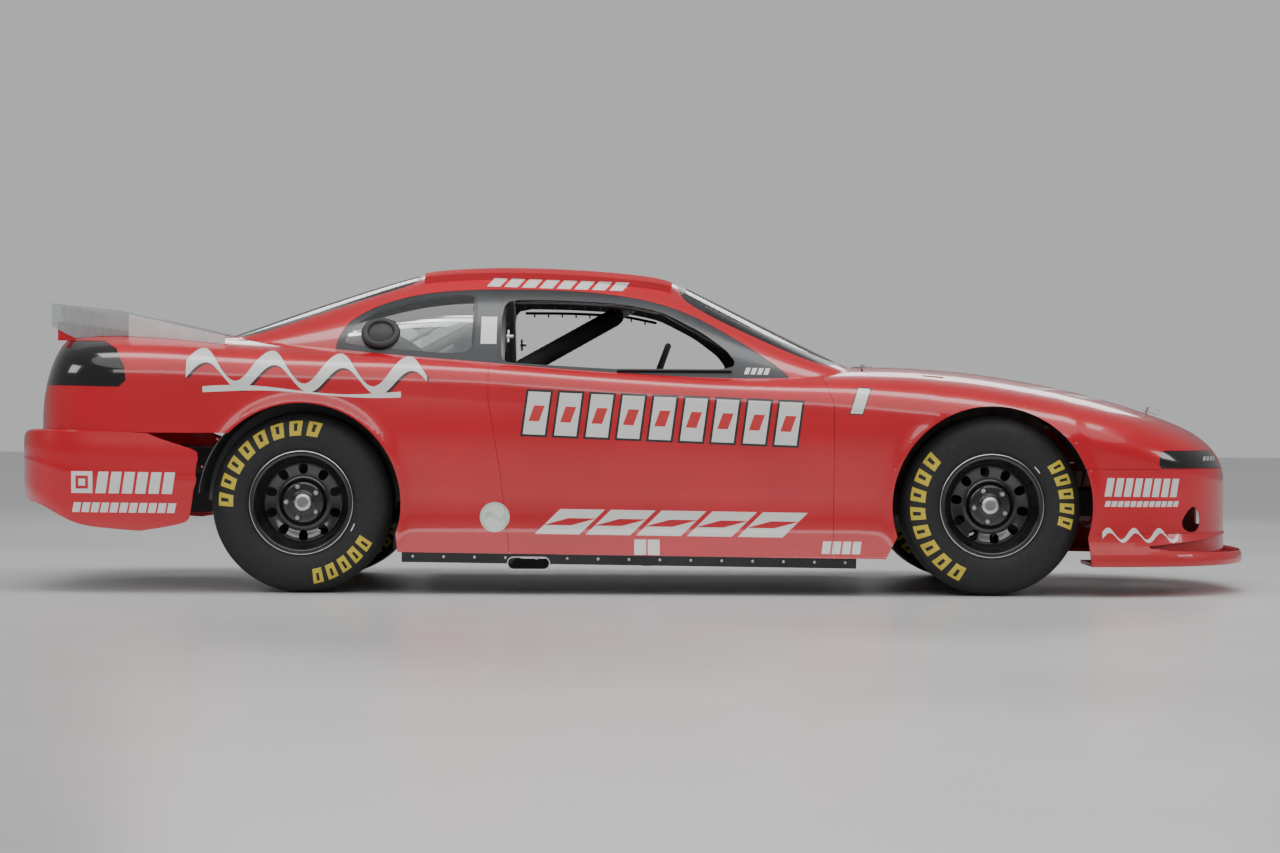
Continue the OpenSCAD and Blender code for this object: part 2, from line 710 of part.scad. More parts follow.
// Floor, tunnel, firewall, bulkhead, trunk floor and wheel tubs, each its own sheet
module floor_pan() {
    floor_x = bulkhead_x + sheet_t + seat_gap;
    floor_l = firewall_x - sheet_t - seat_gap - floor_x;
    tunnel_side = tunnel_half_w + sheet_t;
    color("dimgray") {
        difference() {
            union() {
                translate([floor_x, -tunnel_side, floor_z])
                    cube([floor_l, 2*tunnel_side, tunnel_top + sheet_t - floor_z]);
                translate([firewall_x - sheet_t, -690, floor_z]) cube([sheet_t, 1380, 640]);
                translate([bulkhead_x, -floor_half_w, floor_z])
                    cube([sheet_t, 2*floor_half_w, bulkhead_top - floor_z]);
            }
            tunnel_space();
        }
        translate([-2250, -trunk_half_w, trunk_z]) cube([bulkhead_x - seat_gap + 2250, 2*trunk_half_w,
            sheet_t]);
        for (s = [0, 1]) mirror([0, s, 0]) {
            translate([floor_x, tunnel_side + seat_gap, floor_z])
                cube([floor_l, floor_half_w - tunnel_side - seat_gap, sheet_t]);
            tub(rear_x, 0, 175, tub_y, 880);
            difference() {
                translate([rear_x, tub_y + sheet_t + 5, axle_z]) rotate([90, 0, 0])
                    cylinder(r = tub_r - seat_gap, h = sheet_t);
                translate([rear_x, tub_y, axle_z]) rotate([90, 0, 0])
                    cylinder(r = 90, h = 40, center = true);
                translate([rear_x - 500, tub_y - 50, axle_z - 600]) cube([1000, 100, 600]);
            }
            tub(front_x, 20, 155, tub_y, 870);
            translate([firewall_x + seat_gap, tub_y + 3, shelf_z])
                cube([shelf_end - firewall_x - seat_gap, 120, sheet_t]);
        }
    }
}

rail_y = 640;
front_rail_y = 370;
rear_rail_y = 430;
rail_z = floor_top + seat_gap;
front_rail_z = 300;
rear_rail_z = trunk_z - rail_h - seat_gap;
rail_inner = front_rail_y - rail_w/2;
post_w = 60;
eye_bore_r = 16;
module rail(x0, x1, y, z) { translate([x0, y - rail_w/2, z]) cube([x1 - x0, rail_w, rail_h]); }
eye_t = 12;
// A flat lug with an upright bore, that stands out behind the rear cross member
module tow_eye(x, z) {
    difference() {
        translate([x - 62, -30, z]) cube([63, 60, eye_t]);
        translate([x - 32, 0, z]) cylinder(r = eye_bore_r, h = 3*eye_t, center = true);
    }
}
// The front cross member, with a bore lengthways behind the nose inlet
module front_beam() {
    difference() {
        translate([2150, -front_rail_y - rail_w/2, front_rail_z])
            cube([40, 2*front_rail_y + rail_w, rail_h]);
        translate([2100, 0, socket_z]) rotate([0, 90, 0]) cylinder(r = eye_bore_r, h = 200);
    }
}
socket_z = front_rail_z + 34;
module frame_rails() {
    post_x = bulkhead_x - seat_gap - post_w;
    beam_x = firewall_x + seat_gap;
    outer_y = rail_y + rail_w/2;
    color("dimgray") {
        for (s = [0, 1]) mirror([0, s, 0]) {
            rail(bulkhead_x + sheet_t + seat_gap, firewall_x - sheet_t - seat_gap, rail_y, rail_z);
            rail(beam_x + post_w + seat_gap, 2150 - seat_gap, front_rail_y, front_rail_z);
            rail(-2240 + seat_gap, bulkhead_x - seat_gap, rear_rail_y, rear_rail_z);
            translate([beam_x, tunnel_half_w, front_rail_z])
                cube([post_w, outer_y - tunnel_half_w, rail_h]);
            translate([beam_x, rail_y - rail_w/2, rail_z])
                cube([post_w, rail_w, front_rail_z - seat_gap - rail_z]);
            translate([post_x, rear_rail_y - rail_w/2, rail_z])
                cube([post_w, rail_w, rear_rail_z - seat_gap - rail_z]);
            translate([post_x, rear_rail_y + rail_w/2 + seat_gap, rail_z])
                cube([post_w, rail_y - rear_rail_y - seat_gap, rail_h]);
            // Jack post under the side of the frame, with the tab that carries the side skirt
            translate([jack_x - 20, outer_y + seat_gap, rail_z])
                cube([40, jack_y + 20 - outer_y - seat_gap, 40]);
            translate([jack_x - 20, jack_y - 20, jack_z]) cube([40, 40, rail_z + 1 - jack_z]);
            translate([jack_x - 20, jack_y, jack_z + 12]) cube([40, skirt_y - 2.5 - seat_gap - jack_y, 14]);
        }
        translate([-2280, -rear_rail_y - rail_w/2, rear_rail_z]) cube([40, 2*rear_rail_y + rail_w, rail_h]);
        tow_eye(-2280, rear_rail_z);
        front_beam();
    }
}
jack_x = 30;
jack_y = floor_half_w + 22;
jack_z = 112;

module tube(a, b, r = cage_r) {
    d = b - a;
    l = norm(d);
    translate(a) rotate([0, acos(d[2]/l), atan2(d[1], d[0])]) cylinder(r = r, h = l);
}
module path(points, r = cage_r) {
    for (i = [0:len(points) - 2]) tube(points[i], points[i + 1], r);
    for (i = [1:1:len(points) - 2]) translate(points[i]) sphere(r = r + 1.3);
}
hoop_x = -560;
hoop_top = 1212;
hoop_half_w = 440;
halo_x = 30;
halo_z = 1190;
cage_foot = rail_z + rail_h + seat_gap;
// Where a bar starts inside the tube that it is notched to
notch = 12;
hoop_line = [[hoop_x, -rail_y, cage_foot], [hoop_x, -rail_y, 330], [hoop_x, -690, 850],
    [hoop_x, -hoop_half_w, hoop_top],
    [hoop_x, hoop_half_w, hoop_top], [hoop_x, 690, 850], [hoop_x, rail_y, 330],
        [hoop_x, rail_y, cage_foot]];
function side_line(s) = [[hoop_x + notch, s*(hoop_half_w - 3), hoop_top], [halo_x, s*430, halo_z],
    [676, s*640, 842],
    [680, s*rail_y, cage_foot]];
// A bar with its ends notched to the hoop, and to the side bars too
module to_hoop() {
    skin() difference() {
        children();
        path(hoop_line, cage_r + seat_gap);
    }
}
module to_sides() {
    to_hoop() difference() {
        children();
        for (s = [-1, 1]) path(side_line(s), cage_r + seat_gap);
    }
}
module roll_cage() {
    halo_end = 430 - notch;
    $fn = 12;
    color("silver") {
        skin() path(hoop_line);
        for (s = [-1, 1]) {
            to_hoop() path(side_line(s));
            to_hoop() path([[hoop_x - notch, s*512, 1108], [-1450, s*rear_rail_y, 640],
                [-1450, s*rear_rail_y, trunk_z + sheet_t + seat_gap]]);
            for (z = [420, 600]) to_sides()
                path([[hoop_x + notch, s*(rail_y + 50*(z - 330)/520), z], [680 - notch, s*rail_y, z + 3]]);
        }
        to_sides() path([[halo_x + 1, -halo_end, halo_z - 1], [halo_x + 1, halo_end, halo_z - 1]]);
        // Diagonal bar from the hoop's right side to the middle of the halo
        skin() difference() {
            path([[hoop_x + notch, -680, 832], [halo_x - notch, 0, halo_z - 8]]);
            path(hoop_line, cage_r + seat_gap);
            path([[halo_x + 1, -halo_end, halo_z - 1], [halo_x + 1, halo_end, halo_z - 1]],
                cage_r + seat_gap);
        }
    }
}

// ---- cockpit ----------------------------------------------------------------

seat_y = 382;
seat_x = -385;
module driver_seat() {
    color("navy") translate([seat_x, seat_y - 205, 0]) {
        translate([-150, 60, floor_top + seat_gap]) cube([420, 290, 60]);
        translate([-170, 0, floor_top + 40]) cube([510, 410, 90]);
        translate([-190, 3, floor_top + 60]) rotate([0, -16, 0]) {
            cube([75, 404, 620]);
            translate([0, 117, 619]) cube([75, 170, 210]);
        }
    }
}

column_tilt = 20;
wheel_c = [60, seat_y, 835];
hub_t = 15;
column_l = (firewall_x - sheet_t - wheel_c[0] - 18*sin(column_tilt) - 2)/cos(column_tilt)
    - hub_t - seat_gap;
dash_half_w = rail_y - cage_r - seat_gap;
module dashboard() {
    color("black") {
        translate([520, -dash_half_w, 700]) cube([180, 2*dash_half_w, 110]);
        translate(wheel_c) rotate([0, 90 + column_tilt, 0]) translate([0, 0, hub_t + seat_gap])
            cylinder(r = 18, h = column_l);
        translate([560, seat_y - 12, 640]) cube([30, 24, 61]);
    }
}
module steering_wheel() {
    color("black") translate(wheel_c) rotate([0, 90 + column_tilt, 0]) {
        rotate_extrude() translate([170, 0]) circle(14);
        cylinder(r = 30, h = hub_t);
        for (a = [90, 210, 330]) rotate([0, 0, a]) translate([20, -12, 2]) cube([145, 24, 5]);
    }
}

// ---- power train and running gear ---------------------------------------------

crank_z = 330;
engine_rear_x = 1010;
module engine() {
    color("gray") {
        translate([engine_rear_x, -270, 240]) cube([640, 540, 500]);
        translate([1250, -rail_inner + seat_gap, 320]) cube([90, 2*(rail_inner - seat_gap), 60]);
    }
}
module drive_line() {
    color("gray") translate([0, 0, crank_z]) rotate([0, 90, 0]) {
        translate([0, 0, rear_x + 125 + seat_gap]) cylinder(r = 40, h = 360 - rear_x - 125 - seat_gap);
        translate([0, 0, 359]) cylinder(r = 110, h = 501);
        translate([0, 0, 859]) cylinder(r = 155, h = engine_rear_x - seat_gap - 859);
    }
}
module radiator() {
    color("dimgray") translate([1960, -rail_inner + seat_gap, 270])
        cube([60, 2*(rail_inner - seat_gap), 370]);
}
module fuel_cell() {
    half = rear_rail_y - rail_w/2 - seat_gap;
    color("black") translate([-2230, -half, 300]) cube([500, 2*half, trunk_z - seat_gap - 300]);
}

arm_half = 140;
arm_z = [axle_z - arm_half, axle_z + arm_half];
arm_spread = 110;
eye_r = 24;
ball_r = 12;
module arm_pair(z, inner_z) {
    difference() {
        union() {
            translate([front_x, kingpin_y, z - 15]) cylinder(r = eye_r, h = 30);
            for (s = [-1, 1]) {
                tube([front_x, kingpin_y, z], [front_x + s*arm_spread, front_rail_y + rail_w/2 + 20,
                    inner_z], 13);
                translate([front_x + s*arm_spread, front_rail_y + rail_w/2 + seat_gap, inner_z])
                    rotate([-90, 0, 0])
                    cylinder(r = 20, h = 30);
            }
        }
        translate([front_x, kingpin_y, z - 50]) cylinder(r = ball_r + run, h = 100);
    }
}
module front_suspension() {
    color("black") for (s = [0, 1]) mirror([0, s, 0]) {
        arm_pair(arm_z[0], front_rail_z + 25);
        arm_pair(arm_z[1], front_rail_z + rail_h - 20);
    }
}

module knuckle(left) {
    color("dimgray") mirrored(left) {
        translate([front_x - 35, kingpin_y - 14, arm_z[0] + 22]) cube([70, 28, 2*arm_half - 44]);
        for (z = arm_z) translate([front_x, kingpin_y, z - 15]) cylinder(r = ball_r, h = 30);
        translate([front_x, kingpin_y, arm_z[0] + 10]) cylinder(r = ball_r, h = 2*arm_half - 20);
        translate([front_x, kingpin_y, axle_z]) rotate([-90, 0, 0])
            cylinder(r = spindle_r, h = kingpin_in + 85);
    }
}

arm_w = 60;
module rear_axle() {
    color("dimgray") translate([rear_x, 0, axle_z]) rotate([90, 0, 0]) {
        cylinder(r = 42, h = 2*(wheel_y - 62), center = true);
        cylinder(r = spindle_r, h = 2*(wheel_y + 85), center = true);
        cylinder(r = 125, h = 190, center = true);
    }
}
module rear_suspension() {
    arm_top = axle_z - 30;
    color("dimgray") for (s = [-1, 1]) {
        difference() {
            translate([rear_x - 60, s*rear_rail_y - arm_w/2, arm_top - arm_w])
                cube([bulkhead_x - 2*seat_gap - post_w - rear_x + 60, arm_w, arm_w]);
            translate([rear_x, 0, axle_z]) rotate([90, 0, 0]) cylinder(r = 42 + seat_gap, h = 2000,
                center = true);
        }
        translate([rear_x + 130, s*rear_rail_y, arm_top + seat_gap])
            cylinder(r = 45, h = rear_rail_z - arm_top - 2*seat_gap);
    }
}

rim_r = rim_d/2;
flange_h = 14;
module tyre() {
    h = tyre_w/2;
    r = tyre_d/2;
    b = rim_w/2 - 12.5;
    side = [[rim_r, b], [rim_r + flange_h + 0.6, b + 6], [rim_r + flange_h + 0.6, b + 12.5],
        [rim_r + 60, h],
        [r - 75, h - 2], [r - 30, h - 16], [r - 8, h - 36], [r, h - 70]];
    inside = [[r - 20, h - 80], [r - 50, h - 34], [rim_r + 45, h - 18], [rim_r + 4, b - 14],
        [rim_r, b - 14]];
    both = concat(side, [for (i = [len(side) - 1:-1:0]) [side[i][0], -side[i][1]]]);
    color("black") rotate([90, 0, 0]) rotate_extrude($fn = 96)
        polygon(concat(both, [for (i = [len(inside) - 1:-1:0]) [inside[i][0], -inside[i][1]]], inside));
}

module rim() {
    h = rim_w/2;
    outline = [[rim_r - 24, -h + 82], [rim_r - 8, -h + 62], [rim_r - 8, -h], [rim_r + flange_h, -h],
        [rim_r + flange_h, -h + 6],
        [rim_r - seat_gap, -h + 12], [rim_r - seat_gap, -h + 60], [rim_r - 16, -h + 80]];
    color("black") rotate([90, 0, 0]) difference() {
        union() {
            rotate_extrude($fn = 96) polygon(concat(outline, [for (i = [len(outline) - 1:-1:0])
                [outline[i][0], -outline[i][1]]]));
            translate([0, 0, 20]) cylinder(r = rim_r - 20, h = 12);
            translate([0, 0, -10]) cylinder(r = 70, h = 62);
            translate([0, 0, -10]) cylinder(r = 150, h = 24);
        }
        translate([0, 0, -200]) cylinder(r = spindle_r + run, h = 400);
        for (a = [0:45:315]) rotate([0, 0, a]) translate([125, 0, 10]) cylinder(r = 20, h = 60);
    }
}

module wheel_at(x, side, what) {
    translate([x, side*wheel_y, axle_z]) mirror([0, side > 0 ? 0 : 1, 0]) rotate([0, 0, 180]) {
        if (what == "tyre") tyre();
        else rim();
    }
}

// ---- what each node draws ---------------------------------------------------

nose_cover();
hood();
hood_hinges();
fender(true);  // left_fender
fender(false);  // right_fender
side_door(true);  // left_door
side_door(false);  // right_door
quarter(true);  // left_quarter
quarter(false);  // right_quarter
roof_panel();
cowl_panel();
tail_panel();
rear_bumper();
deck_lid();
deck_hinges();
hinge_leaves();
spoiler_blade();
side_fences();
windshield();
rear_windows();
window_trim();
light_covers();
side_skirts();
exhaust_pipes();
floor_pan();
frame_rails();
roll_cage();
driver_seat();
dashboard();
steering_wheel();
engine();
drive_line();
radiator();
fuel_cell();
front_suspension();
rear_axle();
rear_suspension();
knuckle(true);  // left_knuckle
knuckle(false);  // right_knuckle
wheel_at(front_x, 1, "tyre");  // front_left_tyre
wheel_at(front_x, 1, "rim");  // front_left_rim
wheel_at(front_x, -1, "tyre");  // front_right_tyre
wheel_at(front_x, -1, "rim");  // front_right_rim
wheel_at(rear_x, 1, "tyre");  // rear_left_tyre
wheel_at(rear_x, 1, "rim");  // rear_left_rim
wheel_at(rear_x, -1, "tyre");  // rear_right_tyre
wheel_at(rear_x, -1, "rim");  // rear_right_rim
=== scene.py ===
"""The stock car as it is put together, from the studio it stands in to its last pin and rivet."""
import json
import math

import bmesh
import bpy
import numpy as np
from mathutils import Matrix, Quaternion, Vector

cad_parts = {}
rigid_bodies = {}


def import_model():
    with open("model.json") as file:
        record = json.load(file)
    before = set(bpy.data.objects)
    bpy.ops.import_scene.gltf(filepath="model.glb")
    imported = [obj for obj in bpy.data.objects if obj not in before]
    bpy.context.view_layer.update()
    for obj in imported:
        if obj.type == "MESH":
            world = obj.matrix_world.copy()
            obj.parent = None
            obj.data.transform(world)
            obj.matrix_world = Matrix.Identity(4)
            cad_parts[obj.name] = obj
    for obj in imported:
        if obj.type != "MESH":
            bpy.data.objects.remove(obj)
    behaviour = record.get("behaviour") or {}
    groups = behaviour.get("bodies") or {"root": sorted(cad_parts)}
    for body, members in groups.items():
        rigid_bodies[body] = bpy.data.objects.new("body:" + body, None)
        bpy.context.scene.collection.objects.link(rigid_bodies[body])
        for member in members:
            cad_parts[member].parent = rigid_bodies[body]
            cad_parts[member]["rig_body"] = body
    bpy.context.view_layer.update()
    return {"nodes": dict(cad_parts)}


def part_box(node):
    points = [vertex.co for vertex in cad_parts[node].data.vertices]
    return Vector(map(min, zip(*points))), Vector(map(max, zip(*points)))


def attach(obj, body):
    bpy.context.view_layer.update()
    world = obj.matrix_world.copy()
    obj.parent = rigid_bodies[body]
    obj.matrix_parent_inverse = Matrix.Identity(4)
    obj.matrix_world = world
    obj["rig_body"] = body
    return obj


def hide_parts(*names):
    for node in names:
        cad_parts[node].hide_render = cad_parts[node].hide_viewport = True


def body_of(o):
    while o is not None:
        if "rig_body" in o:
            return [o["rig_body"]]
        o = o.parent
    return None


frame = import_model()
scene = bpy.context.scene

# ---- camera ----------------------------------------------------------------
# A long lens well back from the right-hand side, at the height of the belt line,
# so the car is seen almost square on and only its near corners show any depth.
camera = bpy.data.objects.new("camera", bpy.data.cameras.new("camera"))
camera.data.sensor_width = 36.0
camera.data.lens = 36.0 * 13.0 / 4.979
camera.data.shift_y = -11.5 / 1280
camera.location = (0.0, -13.92, 0.70)
camera.rotation_mode = "QUATERNION"
camera.rotation_quaternion = (
    Quaternion((0, 1, 0), math.radians(-0.28)) @ Quaternion((1, 0, 0), math.radians(90))
)
scene.collection.objects.link(camera)
scene.camera = camera


# ---- studio light ----------------------------------------------------------
# Soft boxes as a car studio hangs them: a long one overhead for the roof and the shoulder,
# a low wide one beside the camera for the flank, and one behind to lift the far edge.
def soft_box(name, place, aim, size, power, tint=(1.0, 1.0, 1.0)):
    lamp = bpy.data.lights.new(name, "AREA")
    lamp.shape = "RECTANGLE"
    lamp.size, lamp.size_y = size
    lamp.energy = power
    lamp.color = tint
    holder = bpy.data.objects.new(name, lamp)
    holder.location = place
    holder.rotation_euler = (Vector(aim) - Vector(place)).to_track_quat("-Z", "Y").to_euler()
    scene.collection.objects.link(holder)


soft_box("overhead_box", (0, -0.6, 5.2), (0, 0, 0), (8.5, 1.6), 190)
soft_box("flank_box", (-1.5, -9.0, 3.6), (0, 0, 0.5), (10.0, 1.2), 120)
soft_box("far_box", (0.5, 8.5, 4.2), (0, 0, 0.6), (8.0, 1.6), 150)
soft_box("nose_box", (8.5, -2.0, 3.4), (1, 0, 0.5), (2.0, 2.0), 60)
soft_box("tail_box", (-8.5, -2.0, 3.4), (-1, 0, 0.5), (2.0, 2.0), 60)

even = bpy.data.lights.new("even_light", "SUN")
even.energy, even.angle = 1.5, math.radians(80)
even_holder = bpy.data.objects.new("even_light", even)
even_holder.rotation_euler = (math.radians(28), 0, 0)
scene.collection.objects.link(even_holder)

sky = bpy.data.worlds.new("studio")
sky.use_nodes = True
backdrop = sky.node_tree.nodes["Background"]
backdrop.inputs["Color"].default_value = (0.50, 0.505, 0.51, 1)
seen = sky.node_tree.nodes.new("ShaderNodeLightPath")
level = sky.node_tree.nodes.new("ShaderNodeMapRange")
level.inputs["To Min"].default_value = 0.40
level.inputs["To Max"].default_value = 1.0
sky.node_tree.links.new(seen.outputs["Is Camera Ray"], level.inputs["Value"])
sky.node_tree.links.new(level.outputs[0], backdrop.inputs["Strength"])
scene.world = sky


# ---- studio floor ----------------------------------------------------------
# A pale poured floor with a faint sheen. Its finish is also the first to need the wires
# below: a Wire is a node socket that plain arithmetic works on, and a Finish is a material.
class Wire:
    """A socket of a material's tree, on which Python arithmetic adds Math nodes."""

    def __init__(self, finish, socket):
        self.finish = finish
        self.socket = socket

    def _math(self, operation, *values):
        inputs = dict(enumerate(values))
        return self.finish.node("ShaderNodeMath", {"operation": operation}, inputs)

    def __add__(self, other):
        return self._math("ADD", self, other)

    __radd__ = __add__

    def __sub__(self, other):
        return self._math("SUBTRACT", self, other)

    def __rsub__(self, other):
        return self._math("SUBTRACT", other, self)

    def __mul__(self, other):
        return self._math("MULTIPLY", self, other)

    __rmul__ = __mul__

    def __truediv__(self, other):
        return self._math("DIVIDE", self, other)

    def __mod__(self, other):
        return self._math("FLOORED_MODULO", self, other)

    def __pow__(self, other):
        return self._math("POWER", self, other)

    def __gt__(self, other):
        return self._math("GREATER_THAN", self, other)

    def __lt__(self, other):
        return self._math("LESS_THAN", self, other)

    def __abs__(self):
        return self._math("ABSOLUTE", self)

    def __or__(self, other):
        return self._math("MAXIMUM", self, other)

    def sin(self):
        return self._math("SINE", self)

    def angle_to(self, other):
        return self._math("ARCTAN2", self, other)


class Finish:
    """One material: a shader whose sockets take numbers, colours or wires."""

    def __init__(self, name):
        self.material = bpy.data.materials.new(name)
        self.material.use_nodes = True
        self.tree = self.material.node_tree
        self.tree.nodes.clear()

    def node(self, kind, settings=None, inputs=None, output=0):
        made = self.tree.nodes.new(kind)
        for key, value in (settings or {}).items():
            if key == "stops":
                ramp = made.color_ramp.elements
                while len(ramp) < len(value):
                    ramp.new(1.0)
                for stop, (place, colour) in zip(ramp, value):
                    stop.position = place
                    stop.color = (*colour, 1.0)
            else:
                setattr(made, key, value)
        for key, value in (inputs or {}).items():
            if isinstance(value, Wire):
                self.tree.links.new(value.socket, made.inputs[key])
            elif value is not None:
                made.inputs[key].default_value = value
        return Wire(self, made.outputs[output])

    def place(self):
        """Object coordinates, and their x, y and z."""
        point = self.node("ShaderNodeTexCoord", output="Object")
        apart = self.node("ShaderNodeSeparateXYZ", inputs={0: point})
        parts = [Wire(self, apart.socket.node.outputs[k]) for k in range(3)]
        return point, *parts

    def noise(self, point, scale, detail=2.0, roughness=0.5):
        inputs = {"Vector": point, "Scale": scale, "Detail": detail, "Roughness": roughness}
        return self.node("ShaderNodeTexNoise", None, inputs)

    def stretched(self, point, scale):
        return self.node("ShaderNodeMapping", None, {"Vector": point, "Scale": scale})

    def blend(self, share, under, over):
        """Colour under, covered by colour over as far as share says."""
        inputs = {"Factor_Float": share, "A_Color": under, "B_Color": over}
        made = self.tree.nodes.new("ShaderNodeMix")
        made.data_type = "RGBA"
        sockets = {socket.identifier: socket for socket in made.inputs}
        for key, value in inputs.items():
            if isinstance(value, Wire):
                self.tree.links.new(value.socket, sockets[key])
            else:
                sockets[key].default_value = value if key[0] == "F" else (*value, 1.0)
        return Wire(self, next(s for s in made.outputs if s.identifier == "Result_Color"))

    def ramp(self, value, *stops):
        return self.node("ShaderNodeValToRGB", {"stops": stops}, {"Fac": value})

    def bump(self, height, depth, strength=1.0):
        inputs = {"Height": height, "Distance": depth, "Strength": strength}
        return self.node("ShaderNodeBump", None, inputs)

    def close(self, **sockets):
        """Ends the tree in a Principled shader with these sockets, spaces in their names as _."""
        inputs = {}
        for key, value in sockets.items():
            colour = isinstance(value, tuple) and len(value) == 3
            inputs[key.replace("_", " ")] = (*value, 1.0) if colour else value
        shader = self.node("ShaderNodeBsdfPrincipled", None, inputs)
        return self.end(shader)

    def end(self, shader):
        surface = self.tree.nodes.new("ShaderNodeOutputMaterial").inputs["Surface"]
        self.tree.links.new(shader.socket, surface)
        return self.material


floor_finish = Finish("studio_floor")
point, _, _, _ = floor_finish.place()
cloud = floor_finish.noise(point, 0.6, 3.0)
floor_finish.close(
    Base_Color=floor_finish.ramp(cloud, (0.3, (0.70, 0.705, 0.71)), (0.7, (0.74, 0.745, 0.75))),
    Roughness=0.22 + 0.08 * cloud,
    Specular_IOR_Level=0.45,
)
floor_mesh = bpy.data.meshes.new("studio_floor")
reach = 45.0
floor_mesh.from_pydata([(-reach, -reach, 0), (reach, -reach, 0),
                        (reach, reach, 0), (-reach, reach, 0)],
                       [], [(0, 1, 2, 3)])
floor_mesh.materials.append(floor_finish.material)
floor = bpy.data.objects.new("studio_floor", floor_mesh)
scene.collection.objects.link(floor)


# ---- body skin -------------------------------------------------------------
# The body is one set of hand-laid glass-fibre panels, 7 mm thick, bolted over the frame.
# The skin runs as one smooth surface from splitter to tail: each station along the car has a
# flat-sided lower half and a rounded top. All panels are cut out of that one skin.
tail_x = -2.475
face_x, back_x = 2.400, -2.410
half_w = 0.932
front_x, rear_x, axle_z, wheel_y = 1.373, -1.319, 0.352, 0.770
arch_r = 0.389
panel_t = 0.007
lid_gap = 0.007
seam = 0.0012


def mm(*rows):
    return np.array(rows, dtype=float) / 1000


crown = mm((-2410, 650), (-2398, 770), (-2370, 880), (-2332, 970), (-2290, 1018), (-2210, 1034),
           (-1900, 1030), (-1600, 1012), (-1300, 996), (-1000, 976), (-500, 932), (200, 890),
           (600, 886), (850, 898), (1000, 900), (1130, 896), (1330, 880), (1530, 852), (1730, 814),
           (1930, 764), (2130, 700), (2230, 660), (2300, 620), (2350, 575), (2380, 530),
           (2400, 440))
shoulder = mm((-2410, 600), (-2350, 700), (-2260, 790), (-1900, 810), (-1300, 800), (-600, 760),
              (0, 720), (700, 690), (1000, 680), (1373, 650), (1700, 590), (2000, 520),
              (2200, 470), (2400, 420))
boxiness = np.array([(-2.41, 3), (-2.0, 3.2), (-1.5, 3.1), (-1.2, 3.3), (-0.85, 3.9), (-0.55, 4.4),
                     (0.6, 3.8), (1.0, 3), (1.5, 2.6), (2.0, 2.5), (2.4, 2.3)])
side_w = mm((-2410, -18), (-1900, 2), (-1319, 14), (-700, 0), (0, -3), (700, 0), (1373, 14),
            (1850, 6), (2400, -6))
side_lean = mm((100, 14), (150, 12), (200, -10), (260, -27), (340, -30), (430, -18), (560, -2),
               (660, 0), (760, -7), (880, -24), (1000, -52))


def curve(rows, x):
    """Smooth line through rows of (place, value)."""
    place, value = rows[:, 0], rows[:, 1]
    last = len(rows) - 1
    i = np.clip(np.searchsorted(place, x, "right") - 1, 0, last - 1)
    every = np.arange(last + 1)
    before, after = np.maximum(every - 1, 0), np.minimum(every + 1, last)
    steep = (value[after] - value[before]) / (place[after] - place[before])
    h = place[i + 1] - place[i]
    t = np.clip((x - place[i]) / h, 0, 1)
    a, b, p, q = value[i], value[i + 1], steep[i] * h, steep[i + 1] * h
    return a + t * (p + t * (3 * (b - a) - 2 * p - q + t * (2 * (a - b) + p + q)))


def smooth(a, b, v):
    t = np.clip((v - a) / (b - a), 0, 1)
    return t * t * (3 - 2 * t)


def rounding(x, start, tip, p, q):
    t = np.clip((x - start) / (tip - start), 0, 1)
    return np.maximum(1 - t**p, 0) ** (1 / q)


def flare(x, z):
    """The swelling of the side round a wheel opening."""
    near = 0
    for axle_x in (front_x, rear_x):
        off = np.hypot(x - axle_x, z - axle_z) - arch_r
        near = near + np.exp(-((off / 0.030) ** 2)) * smooth(0.05, 0.30, z)
    return 0.009 * near


def side_y(x, z, e=0.0):
    """Half width of the skin at a height, inset by e."""
    hollow = (1 - 0.75 * smooth(0.82, 1.25, x)) * (1 - 0.75 * smooth(-0.85, -1.3, x))
    wide = half_w - e + curve(side_w, x) + curve(side_lean, z) * hollow + flare(x, z)
    return wide * rounding(x, 1.5, face_x - e, 3.4, 2.3) * rounding(-x, 1.45, -back_x - e, 6, 4)


def body_rise(x, y, z):
    """Nought on the skin of the body, more outside it."""
    zs, zt, m = curve(shoulder, x), curve(crown, x), curve(boxiness, x)
    ys = side_y(x, zs)
    up = np.maximum(z - zs, 0) / (zt - zs)
    top = (((np.abs(y) / ys) ** m + up**m) ** (1 / m) - 1) * ys
    return np.where(z > zs, top, np.abs(y) - side_y(x, z))


def ring_of(half_y, half_z):
    """Closed sections from half sections that end on the centre line, stations first."""
    y = np.concatenate([-half_y, half_y[:, -2::-1]], axis=1)
    return y, np.concatenate([half_z, half_z[:, -2::-1]], axis=1)


def loft(name, stations, half_y, half_z, across=0):
    """A closed solid through sections; across 2 stacks them upwards and not along the car."""
    y, z = ring_of(half_y, half_z)
    count, ring = y.shape
    x = np.repeat(stations[:, None], ring, axis=1)
    order = (z, y, x) if across == 2 else (x, y, z)
    points = np.stack(order, axis=2).reshape(-1, 3)
    low = (np.arange(count - 1)[:, None] * ring + np.arange(ring)).ravel()
    next_low = (np.arange(count - 1)[:, None] * ring + (np.arange(ring) + 1) % ring).ravel()
    quads = np.stack([low, low + ring, next_low + ring, next_low], axis=1).tolist()
    ends = [list(range(ring)), [(count - 1) * ring + k for k in range(ring)][::-1]]
    return solid(name, points, quads + ends)


def solid(name, points, faces):
    """A working solid with its faces turned outwards."""
    mesh = bpy.data.meshes.new(name)
    mesh.from_pydata([tuple(p) for p in points], [], faces)
    work = bmesh.new()
    work.from_mesh(mesh)
    bmesh.ops.recalc_face_normals(work, faces=work.faces)
    work.to_mesh(mesh)
    work.free()
    made = bpy.data.objects.new(name, mesh)
    scene.collection.objects.link(made)
    return made


def end_run(start, tip, count, power=0.9):
    return start + (tip - start) * np.sin(np.radians(90 * np.arange(1, count + 1) / count)) ** power


